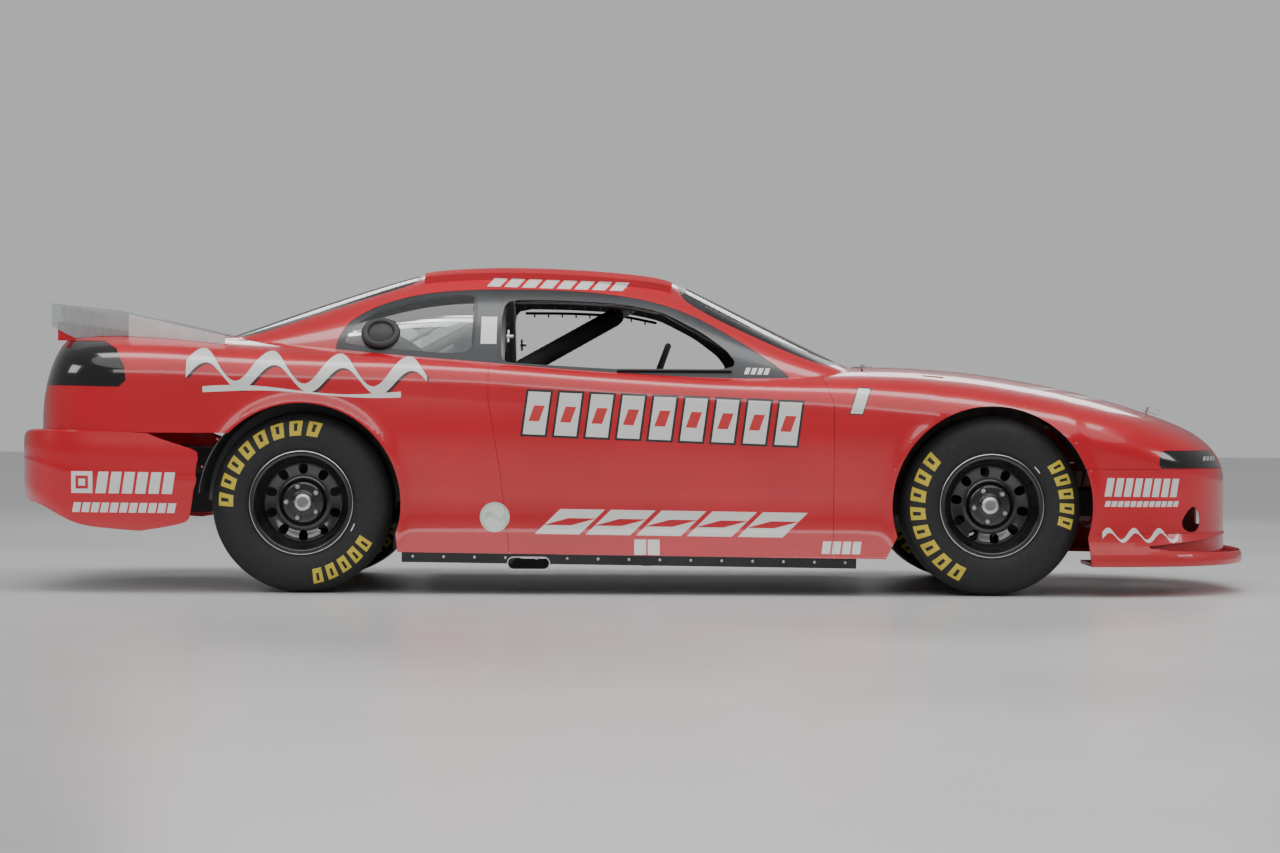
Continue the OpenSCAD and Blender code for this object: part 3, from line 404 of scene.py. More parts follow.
def body_solid(name, e=0.0, drop=0.0, fine=1.0):
    step = 0.016 / fine
    xs = np.concatenate([-end_run(1.93, -back_x - e, int(34 * fine))[::-1],
                         np.arange(-1.93, 1.9301, step),
                         end_run(1.945, face_x - e, int(38 * fine))])
    floor_z = 0.154 - 0.010 * xs - drop
    zs, zt, m = curve(shoulder, xs), curve(crown, xs) - e, curve(boxiness, xs)
    s = np.linspace(0, 1, int(40 * fine))
    z_side = floor_z[:, None] + s * (zs - floor_z)[:, None]
    y_side = np.maximum(side_y(xs[:, None], z_side, e), 0.0005)
    turn = np.radians(np.linspace(0, 90, int(34 * fine) + 1)[1:])
    ys = side_y(xs, zs, e)[:, None]
    power = (2 / m)[:, None]
    y_top = np.maximum(ys * np.cos(turn) ** power, 0.0004)
    y_top[:, -1] = 0
    z_top = zs[:, None] + (zt - zs)[:, None] * np.sin(turn) ** power
    return loft(name, xs, np.hstack([y_side, y_top]), np.hstack([z_side, z_top]))


def prism(name, outline, how, low=-3.0, high=3.0):
    """An outline pushed along y (how "across", outline in x and z) or along z ("upright")."""
    outline = [tuple(p) for p in outline]
    n = len(outline)
    if how == "across":
        points = [(x, low, z) for x, z in outline] + [(x, high, z) for x, z in outline]
    else:
        points = [(x, y, low) for x, y in outline] + [(x, y, high) for x, y in outline]
    faces = [list(range(n)), [n + k for k in range(n)][::-1]]
    faces += [(k, (k + 1) % n, n + (k + 1) % n, n + k) for k in range(n)]
    return solid(name, points, faces)


def slab(name, low, high):
    x0, y0, z0 = low
    x1, y1, z1 = high
    return prism(name, [(x0, z0), (x1, z0), (x1, z1), (x0, z1)], "across", y0, y1)


def both_sides(edge):
    edge = np.asarray(edge)
    back = edge[::-1] * (1, -1)
    return np.array([p for k, p in enumerate(np.vstack([edge, back]))
                     if k == 0 or np.hypot(*(p - np.vstack([edge, back])[k - 1])) > 1e-6][:-1])


def grown(outline, gap):
    """An outline moved outwards by gap, or inwards when gap is negative."""
    p = np.asarray(outline, dtype=float)
    area = np.sum(p[:, 0] * np.roll(p[:, 1], -1) - np.roll(p[:, 0], -1) * p[:, 1])
    gap = gap if area > 0 else -gap
    ahead = np.roll(p, -1, axis=0) - p
    ahead /= np.linalg.norm(ahead, axis=1)[:, None]
    out = np.stack([ahead[:, 1], -ahead[:, 0]], axis=1)
    behind = np.roll(out, 1, axis=0)
    share = 1 + np.sum(out * behind, axis=1)
    return p + gap * (out + behind) / np.maximum(share, 0.3)[:, None]


def eased(outline, rounds=3, share=0.22):
    """An outline with its corners cut round."""
    p = np.asarray(outline, dtype=float)
    for turn in range(rounds):
        nearer = share if turn == 0 else 0.25
        ahead = np.roll(p, -1, axis=0)
        step = nearer * (ahead - p)
        p = np.stack([p + step, ahead - step], axis=1).reshape(-1, 2)
    return p


def carved(name, base, *steps):
    """base with each (operation, tool) done to it, as a new mesh object."""
    work = bpy.data.objects.new(name, base.data.copy())
    scene.collection.objects.link(work)
    for operation, tool in steps:
        cut = work.modifiers.new(operation, "BOOLEAN")
        cut.operation, cut.object, cut.solver = operation, tool, "MANIFOLD"
    graph = bpy.context.evaluated_depsgraph_get()
    mesh = bpy.data.meshes.new_from_object(work.evaluated_get(graph), depsgraph=graph)
    mesh.name = name
    work.modifiers.clear()
    work.data = mesh
    return work


def faired(piece, rise, reach=0.0016):
    """Gives the faces that lie on a surface that surface's own normals, and the rest flat ones."""
    mesh = piece.data
    count = len(mesh.vertices)
    spots = np.empty(count * 3)
    mesh.vertices.foreach_get("co", spots)
    x, y, z = spots.reshape(-1, 3).T
    h = 0.0008
    off = rise(x, y, z)
    slope = np.stack([rise(x + h, y, z) - rise(x - h, y, z), rise(x, y + h, z) - rise(x, y - h, z),
                      rise(x, y, z + h) - rise(x, y, z - h)], axis=1)
    slope /= np.maximum(np.linalg.norm(slope, axis=1), 1e-9)[:, None]
    loops = len(mesh.loops)
    corner = np.empty(loops, dtype=int)
    mesh.loops.foreach_get("vertex_index", corner)
    faces = len(mesh.polygons)
    flat = np.empty(faces * 3)
    mesh.polygons.foreach_get("normal", flat)
    size = np.empty(faces, dtype=int)
    mesh.polygons.foreach_get("loop_total", size)
    face_of = np.repeat(np.arange(faces), size)
    flat = flat.reshape(-1, 3)[face_of]
    wanted = slope[corner]
    onto = (np.abs(off[corner]) < reach) & (np.sum(wanted * flat, axis=1) > 0.86)
    whole = np.bincount(face_of, weights=~onto, minlength=faces)[face_of] == 0
    normals = np.where(whole[:, None], wanted, flat)
    mesh.shade_smooth()
    mesh.normals_split_custom_set(normals.tolist())


def finished(piece, material, body, slot, *nodes):
    """The last steps for every piece: its material, its body and what it stands for; its slot is
    not used.
    """
    piece.data.materials.clear()
    piece.data.materials.append(material)
    if nodes:
        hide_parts(*nodes)
    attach(piece, body)
    return piece


skin_solid = body_solid("skin_solid")
skin_core = body_solid("skin_core", panel_t, 0.1, 0.5)


def arch_outline(axle_x, back_foot, front_foot, r=arch_r):
    turn = np.radians(np.linspace(-18, 198, 97))
    arc = [(axle_x + r * math.cos(a), axle_z + r * math.sin(a)) for a in turn]
    return [(axle_x + front_foot, -0.001), *arc, (axle_x - back_foot, -0.001)]


wheel_openings = [prism("arch", arch_outline(front_x, 0.490, 0.402), "across"),
                  prism("arch", arch_outline(rear_x, 0.425, 0.402), "across")]
cabin_foot = mm((-1850, 560), (-1600, 640), (-1300, 745), (-1000, 815), (-500, 850), (0, 852),
                (500, 830), (800, 780), (920, 740))
cabin_edge = [(x, curve(cabin_foot, x) - 0.040) for x in np.arange(-1.56, 0.7201, 0.12)]
cabin_hole = prism("cabin_hole", both_sides(cabin_edge), "upright")
shell = carved("shell", skin_solid, ("DIFFERENCE", skin_core),
               ("DIFFERENCE", wheel_openings[0]), ("DIFFERENCE", wheel_openings[1]))
open_shell = carved("open_shell", shell, ("DIFFERENCE", cabin_hole))


# ---- doors -----------------------------------------------------------------
# Each door is a fixed panel bolted to the frame: the driver climbs in through the window.
# Two-pack red over white gel coat, with rows of plain vinyl blocks edged in black.
red_deep, red_bright = (0.54, 0.0006, 0.0110), (0.62, 0.0010, 0.0150)
white_vinyl, black_vinyl, pale_green = (0.78, 0.78, 0.76), (0.012, 0.012, 0.014), (0.55, 0.70, 0.60)


def within(value, low, high):
    return (value > low) * (value < high)


def bar_row(x, z, ends, bottom, top, count, gap=0.14, slant=0.0, rim=0.0):
    """Shares of a row of slanted bars between x ends, grown by rim; bottom and top slope."""
    start, stop = ends
    run = (x - start) / (stop - start)
    low = bottom[0] + (bottom[1] - bottom[0]) * run
    high = top[0] + (top[1] - top[0]) * run
    rise = (z - low) / (high - low)
    pitch = (stop - start) / count
    along = (run - slant * (rise - 0.5)) * count
    edge, lift = rim / pitch, rim / (top[0] - bottom[0])
    part = along % 1.0
    bars = within(part, gap / 2 - edge, 1 - gap / 2 + edge) * within(along, 0.0, float(count))
    return bars * within(rise, -lift, 1 + lift)


def ribbon(x, z, ends, middle, swing, waves, thick):
    """Share of a waved band, thicker on its rising strokes as a brushed line is."""
    run = (x - ends[0]) / (ends[1] - ends[0])
    phase = run * (2 * math.pi * waves)
    line = middle[0] + (middle[1] - middle[0]) * run + swing * phase.sin()
    broad = thick * (0.75 + 0.45 * (phase + 1.1).sin())
    return (abs(z - line) < broad) * within(run, 0.0, 1.0)


def disc(x, z, centre, radius):
    return ((x - centre[0]) ** 2.0 + (z - centre[1]) ** 2.0) < radius * radius


def red_paint(name, marks=None):
    """Sprayed red under clear coat. marks gives (share, colour) pairs from the place."""
    paint = Finish(name)
    point, x, y, z = paint.place()
    drift = paint.noise(point, 2.2, 3.0)
    colour = paint.ramp(drift, (0.35, red_deep), (0.68, red_bright))
    low_down = paint.node("ShaderNodeMapRange", {"interpolation_type": "SMOOTHSTEP"},
                          {"Value": z, "From Min": 0.42, "From Max": 0.12,
                           "To Min": 0.0, "To Max": 1.0})
    dust = low_down * paint.noise(point, 24.0, 5.0, 0.65)
    colour = paint.blend(0.22 * dust, colour, (0.20, 0.13, 0.11))
    film = 0.0
    for share, tint in (marks(x, y, z) if marks else ()):
        colour = paint.blend(share, colour, tint)
        film = share | film
    scuff = paint.noise(paint.stretched(point, (3.0, 3.0, 26.0)), 7.0, 4.0, 0.6)
    peel = paint.noise(point, 210.0, 1.0)
    wave = paint.noise(point, 7.0, 1.0)
    relief = 0.10 * peel + 3.0 * wave + 0.35 * film
    return paint.close(
        Base_Color=colour,
        Roughness=0.25 + 0.10 * scuff + 0.25 * dust + 0.08 * film,
        Specular_IOR_Level=0.5,
        Coat_Weight=0.85 - 0.3 * dust,
        Coat_Roughness=0.045,
        Normal=paint.bump(relief, 0.00035, 0.6),
    )


def badge_marks(x, z):
    """A round pale label across the seam behind the door."""
    middle = (-0.564, 0.300)
    badge = disc(x, z, middle, 0.058)
    rim = badge * (1 - disc(x, z, middle, 0.047))
    wave = badge * ribbon(x, z, (-0.604, -0.524), (0.298, 0.304), 0.012, 1.0, 0.011)
    return (badge, (0.80, 0.82, 0.78)), (rim | wave, pale_green)


def door_marks(x, y, z):
    name_row = (-0.463, 0.638), (0.624, 0.583), (0.791, 0.750), 9, 0.30, 0.02
    outline = bar_row(x, z, *name_row, 0.009)
    face = bar_row(x, z, *name_row)
    step = bar_row(x, z, (-0.463, 0.638), (0.676, 0.635), (0.738, 0.697), 9, 0.66, 0.02)
    sill = bar_row(x, z, (-0.370, 0.618), (0.235, 0.225), (0.333, 0.322), 5, 0.12, 0.10)
    sill_gap = bar_row(x, z, (-0.370, 0.618), (0.270, 0.260), (0.298, 0.287), 5, 0.45, 0.10)
    small = bar_row(x, z, (-0.023, 0.082), (0.157, 0.156), (0.216, 0.215), 2, 0.12, 0.0)
    front = bar_row(x, z, (0.708, 0.864), (0.164, 0.163), (0.212, 0.211), 4, 0.18, 0.05)
    slash_row = (0.809, 0.906), (0.710, 0.706), (0.812, 0.806), 1, 0.52, 0.34
    slash = bar_row(x, z, *slash_row, 0.004)
    slash_face = bar_row(x, z, *slash_row)
    return ((outline, black_vinyl), (face * (1 - step), white_vinyl), (step, (0.62, 0.03, 0.03)),
            (sill * (1 - sill_gap), white_vinyl), (small | front, white_vinyl),
            *badge_marks(x, z), (slash, black_vinyl), (slash_face, white_vinyl))


side_paint = red_paint("red_side_paint", door_marks)
door_rear = mm((-486, -100), (-486, 0), (-545, 483), (-592, 760), (-592, 1400))
door_front = mm((756, -100), (756, 0), (756, 745), (716, 845), (716, 1400))


def band(rear, front):
    return np.vstack([rear, front[::-1]])


def half_range(side, near=0.0):
    return (near, 3.0) if side > 0 else (-3.0, -near)


sides = (("left", 1), ("right", -1))
half_seam = (seam / 2, 0)
for name, side in sides:
    outline = band(door_rear + half_seam, door_front - half_seam)
    door = carved(f"{name}_door_panel", open_shell,
                  ("INTERSECT", prism("tool", outline, "across", *half_range(side, 0.1))))
    faired(door, body_rise)
    finished(door, side_paint, "chassis", "red_paint", f"{name}_door")

# ---- fenders ---------------------------------------------------------------
# The front wings, one laid piece each, swelling to a rolled lip round the wheel opening.
# They butt against the door, the nose cover and the cowl and are held by screws.
hood_edge = mm((905, 0), (900, 350), (880, 640), (905, 690), (1150, 672), (1500, 640), (1850, 585),
               (2120, 500), (2235, 380), (2290, 200), (2305, 0))
hood_outline = both_sides(hood_edge)
deck_edge = mm((-1700, 0), (-1700, 560), (-1730, 610), (-2000, 625), (-2250, 620), (-2300, 600),
               (-2310, 0))
deck_outline = both_sides(deck_edge)
header_y, cowl_half_w, tail_half_w = 0.430, 0.700, 0.626
bumper_seam_z, nose_seam_z = 0.622, 0.498
nose_seam_x, bumper_seam_x = front_x + arch_r - 0.025, rear_x - arch_r + 0.025
headlight = mm((2030, 512), (2034, 556), (2052, 570), (2600, 570), (2600, 500), (2042, 500))
tail_light = mm((-2600, 806), (-2600, 985), (-2290, 985), (-2110, 982), (-2050, 950), (-2008, 880),
                (-2002, 825), (-2030, 800), (-2330, 806))
hood_hole = prism("tool", grown(hood_outline, lid_gap / 2), "upright")
deck_hole = prism("tool", grown(deck_outline, lid_gap / 2), "upright")
under_nose_seam = slab("tool", (nose_seam_x - 0.3, -3, -0.2),
                       (nose_seam_x + 1.2, 3, nose_seam_z + seam / 2))
under_bumper_seam = slab("tool", (tail_x - 0.2, -3, -0.2),
                         (bumper_seam_x + 0.2, 3, bumper_seam_z + seam / 2))
for name, side in sides:
    outline = band(door_front + half_seam, mm((3000, -100), (3000, 1400)))
    fender = carved(f"{name}_fender_panel", open_shell,
                    ("INTERSECT", prism("tool", outline, "across", *half_range(side))),
                    ("DIFFERENCE", hood_hole), ("DIFFERENCE", under_nose_seam),
                    ("DIFFERENCE", slab("tool", (0, -header_y - seam / 2, 0),
                                        (3, header_y + seam / 2, 3))),
                    ("DIFFERENCE", slab("tool", (0, -cowl_half_w - seam / 2, 0),
                                        (1.2, cowl_half_w + seam / 2, 3))),
                    ("DIFFERENCE", prism("tool", headlight, "across")))
    faired(fender, body_rise)
    finished(fender, side_paint, "chassis", "red_paint", f"{name}_fender")

# ---- hood ------------------------------------------------------------------
# One crowned lid over the engine on two rear hinges, held down at the nose by spring pins.
# White slashes are laid near its front corners.
hood_shape = prism("tool", grown(hood_outline, -lid_gap / 2), "upright")


def hood_marks(x, y, z):
    reach = abs(y)
    first = within(x + 0.6 * reach, 1.915, 1.965) * within(reach, 0.36, 0.62)
    second = within(x + 0.6 * reach, 2.045, 2.125) * within(reach, 0.34, 0.60)
    return ((first | second, white_vinyl),)


hood = carved("hood_panel", shell, ("INTERSECT", hood_shape),
              ("INTERSECT", slab("tool", (0, -3, nose_seam_z), (3, 3, 3))))
faired(hood, body_rise)
finished(hood, red_paint("red_hood_paint", hood_marks), "hood", "red_paint", "hood")

# ---- cowl ------------------------------------------------------------------
# The strip between the hood and the windshield, plain red.
plain_paint = red_paint("red_plain_paint")
cowl = carved("cowl_strip", open_shell,
              ("INTERSECT", slab("tool", (0.716 + seam, -cowl_half_w + seam / 2, 0.6),
                                 (1.116, cowl_half_w - seam / 2, 1.1))),
              ("DIFFERENCE", hood_hole))
faired(cowl, body_rise)
finished(cowl, plain_paint, "chassis", "red_paint", "cowl_panel")

# ---- quarters --------------------------------------------------------------
# The rear quarters carry the deck lips: a thin raised edge along each side of the deck to
# which the clear fences are riveted. A broad white ribbon is laid along each flank.
lip_front, lip_rear = mm((-1490, 780), (-2340, 616))
lip_angle = math.atan2(lip_front[1] - lip_rear[1], lip_front[0] - lip_rear[0])
lip_top = mm((-1490, 940), (-1580, 962), (-1667, 980), (-1790, 996), (-1920, 1012), (-2060, 1027),
             (-2200, 1047), (-2340, 1067))


def along_lip(name, outline, thick, out, side):
    """A plate standing along the lip's line on one side of the deck."""
    run = (np.asarray(outline)[:, 0] - lip_rear[0]) / math.cos(lip_angle)
    ahead = np.array([math.cos(lip_angle), math.sin(lip_angle)])
    sideways = np.array([-math.sin(lip_angle), math.cos(lip_angle)])
    base = np.array([lip_rear[0], lip_rear[1] + out])
    n = len(run)
    points = []
    for shift in (0.0, thick):
        for r, z in zip(run, np.asarray(outline)[:, 1]):
            x, y = base + ahead * r + sideways * shift
            points.append((x, side * y, z))
    faces = [list(range(n)), [n + k for k in range(n)][::-1]]
    faces += [(k, (k + 1) % n, n + (k + 1) % n, n + k) for k in range(n)]
    return solid(name, points, faces)


def quarter_marks(x, y, z):
    script = ribbon(x, z, (-1.766, -0.830), (0.872, 0.838), 0.055, 3.5, 0.030)
    shade = ribbon(x - 0.008, z + 0.008, (-1.766, -0.830), (0.872, 0.838), 0.055, 3.5, 0.030)
    tail = ribbon(x, z, (-1.70, -0.93), (0.792, 0.775), 0.010, 1.0, 0.010)
    return (shade, (0.05, 0.006, 0.008)), (script | tail, white_vinyl), *badge_marks(x, z)


quarter_paint = red_paint("red_quarter_paint", quarter_marks)
lip_floor_cut = body_solid("tool", 0.002, 0.1, 0.6)
for name, side in sides:
    outline = band(mm((-3000, -100), (-3000, 1400)), door_rear - half_seam)
    quarter = carved(f"{name}_quarter_panel", open_shell,
                     ("INTERSECT", prism("tool", outline, "across", *half_range(side))),
                     ("UNION", carved("tool", along_lip("tool", np.vstack([
                         lip_top, mm((-2340, 1012), (-2300, 900), (-1490, 900))]), 0.006, 0, side),
                         ("DIFFERENCE", lip_floor_cut))),
                     ("DIFFERENCE", deck_hole), ("DIFFERENCE", under_bumper_seam),
                     ("DIFFERENCE", slab("tool", (tail_x, -tail_half_w - seam / 2, 0),
                                         (0.5, tail_half_w + seam / 2, 3))),
                     ("DIFFERENCE", prism("tool", tail_light, "across")))
    faired(quarter, body_rise)
    finished(quarter, quarter_paint, "chassis", "red_paint", f"{name}_quarter")

# ---- tail panel and deck lid -----------------------------------------------
# The tail panel closes the body between the quarters; the deck lid is hinged at its front
# edge over the fuel cell, and carries the clear spoiler blade.
tail = carved("tail_skin", open_shell,
              ("INTERSECT", slab("tool",
                                 (tail_x, -tail_half_w + seam / 2, bumper_seam_z + seam / 2),
                                 (tail_x + 0.4, tail_half_w - seam / 2, 1.3))),
              ("DIFFERENCE", deck_hole))
faired(tail, body_rise)
finished(tail, plain_paint, "chassis", "red_paint", "tail_panel")
deck = carved("deck_panel", shell,
              ("INTERSECT", prism("tool", grown(deck_outline, -lid_gap / 2), "upright")),
              ("INTERSECT", slab("tool", (-3, -3, 0.9), (0, 3, 1.3))))
faired(deck, body_rise)
finished(deck, plain_paint, "deck", "red_paint", "deck_lid")

# ---- nose cover ------------------------------------------------------------
# The nose is one moulding from the hood's front edge down to the splitter lip, with a wide
# intake in the middle and a shaped duct hole each side for brake cooling.
lip_levels = mm((118, 70), (121, 74), (128, 75.5), (138, 76), (148, 75), (157, 71.5), (165, 67),
                (175, 57), (185, 45), (198, 29), (212, 17), (228, 7), (244, 0))


def lip_stack(name, levels, e):
    rows_x, rows_y = [], []
    for _, grow in levels:
        tip = face_x + grow - e
        xs = np.concatenate([np.linspace(nose_seam_x - 0.12, 1.985, 14), end_run(2.0, tip, 34)])
        rows_x.append(xs)
        widest = half_w + 0.006 + grow * 0.3 - e
        rows_y.append(np.maximum(widest * rounding(xs, 1.5, tip, 3.4, 2.3), 0))
    return loft(name, levels[:, 0], np.array(rows_y), np.array(rows_x), across=2)


lowered = lip_levels + (0.014, 0)
lip_body = carved("tool", lip_stack("tool", lip_levels, 0.0),
                  ("DIFFERENCE", lip_stack("tool", lowered, panel_t)))
brake_inlet = eased(mm((2128, 294), (2163, 341), (2190, 353), (2213, 322), (2217, 283), (2198, 252),
                       (2167, 248), (2136, 263)), 2)
inlet = [(2.0, -0.330), (2.9, -0.330), (2.9, 0.330), (2.0, 0.330)]
upper_nose = carved("tool", shell,
                    ("INTERSECT", slab("tool", (1.9, -header_y + seam / 2, nose_seam_z - seam),
                                       (2.9, header_y - seam / 2, nose_seam_z + 0.4))))
lower_nose = carved("tool", shell,
                    ("INTERSECT", slab("tool", (nose_seam_x - 0.3, -3, -0.2),
                                       (nose_seam_x + 1.2, 3, nose_seam_z - seam / 2))))
nose = carved("nose_skin", lower_nose, ("UNION", upper_nose), ("UNION", lip_body),
              ("DIFFERENCE", wheel_openings[0]), ("DIFFERENCE", hood_hole),
              ("DIFFERENCE", slab("tool", (nose_seam_x - 0.9, -3, 0), (nose_seam_x, 3, 3))),
              ("DIFFERENCE", prism("tool", brake_inlet, "across")),
              ("DIFFERENCE", prism("tool", inlet, "upright", 0.250, 0.365)))


def nose_marks(x, y, z):
    row = bar_row(x, z, (1.809, 2.116), (0.392, 0.388), (0.464, 0.460), 8, 0.26, 0.04)
    thin = bar_row(x, z, (1.809, 2.116), (0.352, 0.350), (0.374, 0.372), 12, 0.20, 0.02)
    script = ribbon(x, z, (1.800, 2.112), (0.240, 0.236), 0.020, 3.0, 0.011)
    return ((row | thin | script, white_vinyl),)


faired(nose, body_rise)
finished(nose, red_paint("red_nose_paint", nose_marks), "chassis", "red_paint", "nose_cover")

# ---- rear bumper -----------------------------------------------------------
# A deep wrap-round moulding with a soft crease along its flank, screwed under the tail.
bumper_top = mm((-2475, 560), (-2450, 610), (-2395, 632), (-2200, 632), (-1500, 622))
bumper_low = mm((-2475, 420), (-2445, 380), (-2350, 318), (-2200, 226), (-2050, 196), (-1790, 178),
                (-1500, 170))


def bumper_side(x, rise, e=0.0):
    """Half width of the bumper at a share of its height."""
    r = rounding(-x, 1.45, -tail_x - e, 7, 4.5)
    profile = mm((0, -26), (160, -6), (350, 0), (520, 4), (600, 6.5), (640, 5), (850, 5),
                 (1000, -2))
    return (half_w + 0.002 - e + curve(profile, rise)) * r


def bumper_solid(name, e):
    xs = np.concatenate([-end_run(1.98, -tail_x - e, 44)[::-1], np.linspace(-1.965, -1.58, 24)])
    zb, zt = curve(bumper_low, xs) - (0.06 if e else 0), curve(bumper_top, xs) - e
    rise = np.linspace(0, 1, 40)
    z = zb[:, None] + rise * (zt - 0.008 - zb)[:, None]
    y = np.maximum(bumper_side(xs[:, None], rise, e), 0.0005)
    rim = np.maximum(y[:, -1:] - 0.028 * rounding(-xs, 1.45, -tail_x - e, 7, 4.5)[:, None], 0.0004)
    y = np.hstack([y, rim, np.zeros_like(rim)])
    z = np.hstack([z, zt[:, None], zt[:, None]])
    return loft(name, xs, y, z)


def bumper_rise(x, y, z):
    zb, zt = curve(bumper_low, x), curve(bumper_top, x) - 0.008
    flank = np.abs(y) - bumper_side(x, np.clip((z - zb) / (zt - zb), 0, 1))
    return np.where(z > zt, 1.0, flank)


def bumper_marks(x, y, z):
    square = within(x, -2.213, -2.128) * within(z, 0.386, 0.471)
    hollow = within(x, -2.196, -2.145) * within(z, 0.403, 0.454)
    core = within(x, -2.184, -2.157) * within(z, 0.415, 0.442)
    row = bar_row(x, z, (-2.116, -1.805), (0.386, 0.384), (0.470, 0.468), 6, 0.22, 0.04)
    thin = bar_row(x, z, (-2.210, -1.800), (0.312, 0.310), (0.350, 0.348), 11, 0.20, 0.02)
    return ((square * (1 - hollow) | core | row | thin, white_vinyl),)


moved = bumper_solid("tool", panel_t)
shifted = np.array([v.co for v in moved.data.vertices]) + (1e-5, 0, 0)
moved.data.vertices.foreach_set("co", shifted.ravel())
bumper = carved("bumper_skin", bumper_solid("tool", 0.0), ("DIFFERENCE", moved),
                ("DIFFERENCE", wheel_openings[1]),
                ("DIFFERENCE", slab("tool", (bumper_seam_x, -3, 0), (bumper_seam_x + 0.9, 3, 3))),
                ("DIFFERENCE", body_solid("tool", -0.0005, 0.15, 0.8)))
faired(bumper, bumper_rise)
finished(bumper, red_paint("red_bumper_paint", bumper_marks), "chassis", "red_paint", "rear_bumper")


# ---- roof ------------------------------------------------------------------
# Roof, screen pillars and rear apron are one moulding; a raised rail runs along each side of
# the roof to trip the air when the car slides sideways.
roof_line = mm((-1850, 945), (-1750, 984), (-1600, 1039), (-1300, 1146), (-1000, 1243),
               (-850, 1280), (-700, 1296), (-500, 1302), (-200, 1293), (40, 1270), (140, 1244),
               (300, 1168), (500, 1068), (700, 968), (800, 920), (920, 862))
cabin_sill = mm((-1850, 940), (-1200, 925), (-600, 880), (0, 838), (600, 812), (920, 800))
roof_boxiness = np.array([(-1.85, 2.6), (-1.2, 3.0), (-0.6, 3.4), (0.0, 3.4), (0.5, 3.2),
                          (0.92, 3.0)])
cabin_base, cabin_h, tumblehome = 0.700, 0.420, 0.30


def cabin_width(x, z, e=0.0):
    """Half width of the cabin at a height."""
    zb, m = curve(cabin_sill, x), curve(roof_boxiness, x)
    zt = np.maximum(curve(roof_line, x) - e, zb + 0.004)
    s = np.clip((z - zb) / (zt - zb), 0, 1)
    lean = tumblehome * (zt - zb) / cabin_h
    return (curve(cabin_foot, x) - e) * (1 - s**m) ** (1 / m) * (1 - lean * s)


def cabin_rise(x, y, z):
    zb, m = curve(cabin_sill, x), curve(roof_boxiness, x)
    zt = np.maximum(curve(roof_line, x), zb + 0.004)
    s = np.maximum((z - zb) / (zt - zb), 0)
    lean = tumblehome * (zt - zb) / cabin_h
    w = curve(cabin_foot, x) * (1 - lean * np.minimum(s, 1))
    return (((np.abs(y) / w) ** m + s**m) ** (1 / m) - 1) * 0.5


def cabin_solid(name, e=0.0, fine=1.0):
    xs = np.linspace(-1.85, 0.92, int(150 * fine))
    zb, m = curve(cabin_sill, xs), curve(roof_boxiness, xs)
    zt = np.maximum(curve(roof_line, xs) - e, zb + 0.004)
    w = curve(cabin_foot, xs) - e
    lean = tumblehome * (zt - zb) / cabin_h
    turn = np.radians(np.linspace(0, 90, int(64 * fine) + 1))
    s = np.sin(turn) ** (2 / m)[:, None]
    y = w[:, None] * np.cos(turn) ** (2 / m)[:, None] * (1 - lean[:, None] * s)
    y[:, -1] = 0
    z = zb[:, None] + (zt - zb)[:, None] * s
    y = np.hstack([w[:, None], y])
    z = np.hstack([np.full_like(w, cabin_base)[:, None], z])
    return loft(name, xs, y, z)


def cabin_shell(thick, out=0.0, fine=0.7):
    return carved("tool", cabin_solid("tool", out, fine if out else 1.0),
                  ("DIFFERENCE", cabin_solid("tool", out + thick, 0.6)))


screen_edge = mm((846, 0), (838, 300), (800, 560), (728, 690), (560, 668), (300, 590), (165, 520),
                 (140, 300), (130, 0))
rear_edge = mm((-868, 0), (-874, 300), (-900, 470), (-1250, 540), (-1500, 560), (-1590, 540),
               (-1640, 400), (-1655, 0))
screen_outline = eased(both_sides(screen_edge), 2, 0.18)
rear_outline = eased(both_sides(rear_edge), 2, 0.18)
side_glass = eased(mm((-1204, 972), (-1160, 1062), (-1060, 1124), (-950, 1162), (-830, 1186),
                      (-630, 1200), (-316, 1198), (-158, 1186), (0, 1163), (120, 1131), (240, 1082),
                      (415, 980), (602, 848), (602, 780), (-78, 780), (-860, 830), (-1190, 880)), 2)
door_window = eased(mm((-548, 1158), (-316, 1155), (-80, 1143), (80, 1112), (238, 1032), (338, 958),
                       (372, 912), (366, 892), (315, 880), (-78, 878), (-470, 900),
                       (-548, 908)), 2, 0.15)
quarter_glass = eased(mm((-1180, 976), (-1135, 1048), (-1050, 1106), (-900, 1156), (-640, 1185),
                         (-654, 932), (-950, 952)), 2, 0.15)
apron = (-1.6965, -tail_half_w + seam / 2, 0.8), (-1.5715, tail_half_w - seam / 2, 1.2)
over_body = carved("tool", slab("tool", (-3, -3, 0.8), (3, 3, 3)),
                   ("DIFFERENCE", body_solid("tool", -0.0006, 0.15, 0.6)))
rail_shape = mm((-868, 1180), (-868, 1296), (-500, 1300), (-200, 1288), (40, 1260), (128, 1236),
                (120, 1180))
rail_band = carved("tool", cabin_solid("tool", -0.030, 0.7),
                   ("DIFFERENCE", cabin_solid("tool", 0.0005, 0.7)))
roof_steps = []
for _, side in sides:
    near, far = sorted((side * 0.422, side * 0.482))
    rail = carved("tool", rail_band, ("INTERSECT", prism("tool", rail_shape, "across", near, far)))
    roof_steps.append(("UNION", rail))
roof_steps += [
    ("DIFFERENCE", body_solid("tool", -0.0003, 0.15, 0.6)),
    ("DIFFERENCE", slab("tool", (-3, -3, -0.1), (3, 3, cabin_base + 0.001))),
    ("DIFFERENCE", prism("tool", screen_outline, "upright")),
    ("DIFFERENCE", prism("tool", rear_outline, "upright")),
    ("DIFFERENCE", prism("tool", side_glass, "across")),
    ("UNION", carved("tool", shell, ("INTERSECT", slab("tool", *apron)))),
]
roof = carved("roof_skin", cabin_shell(panel_t), *roof_steps)


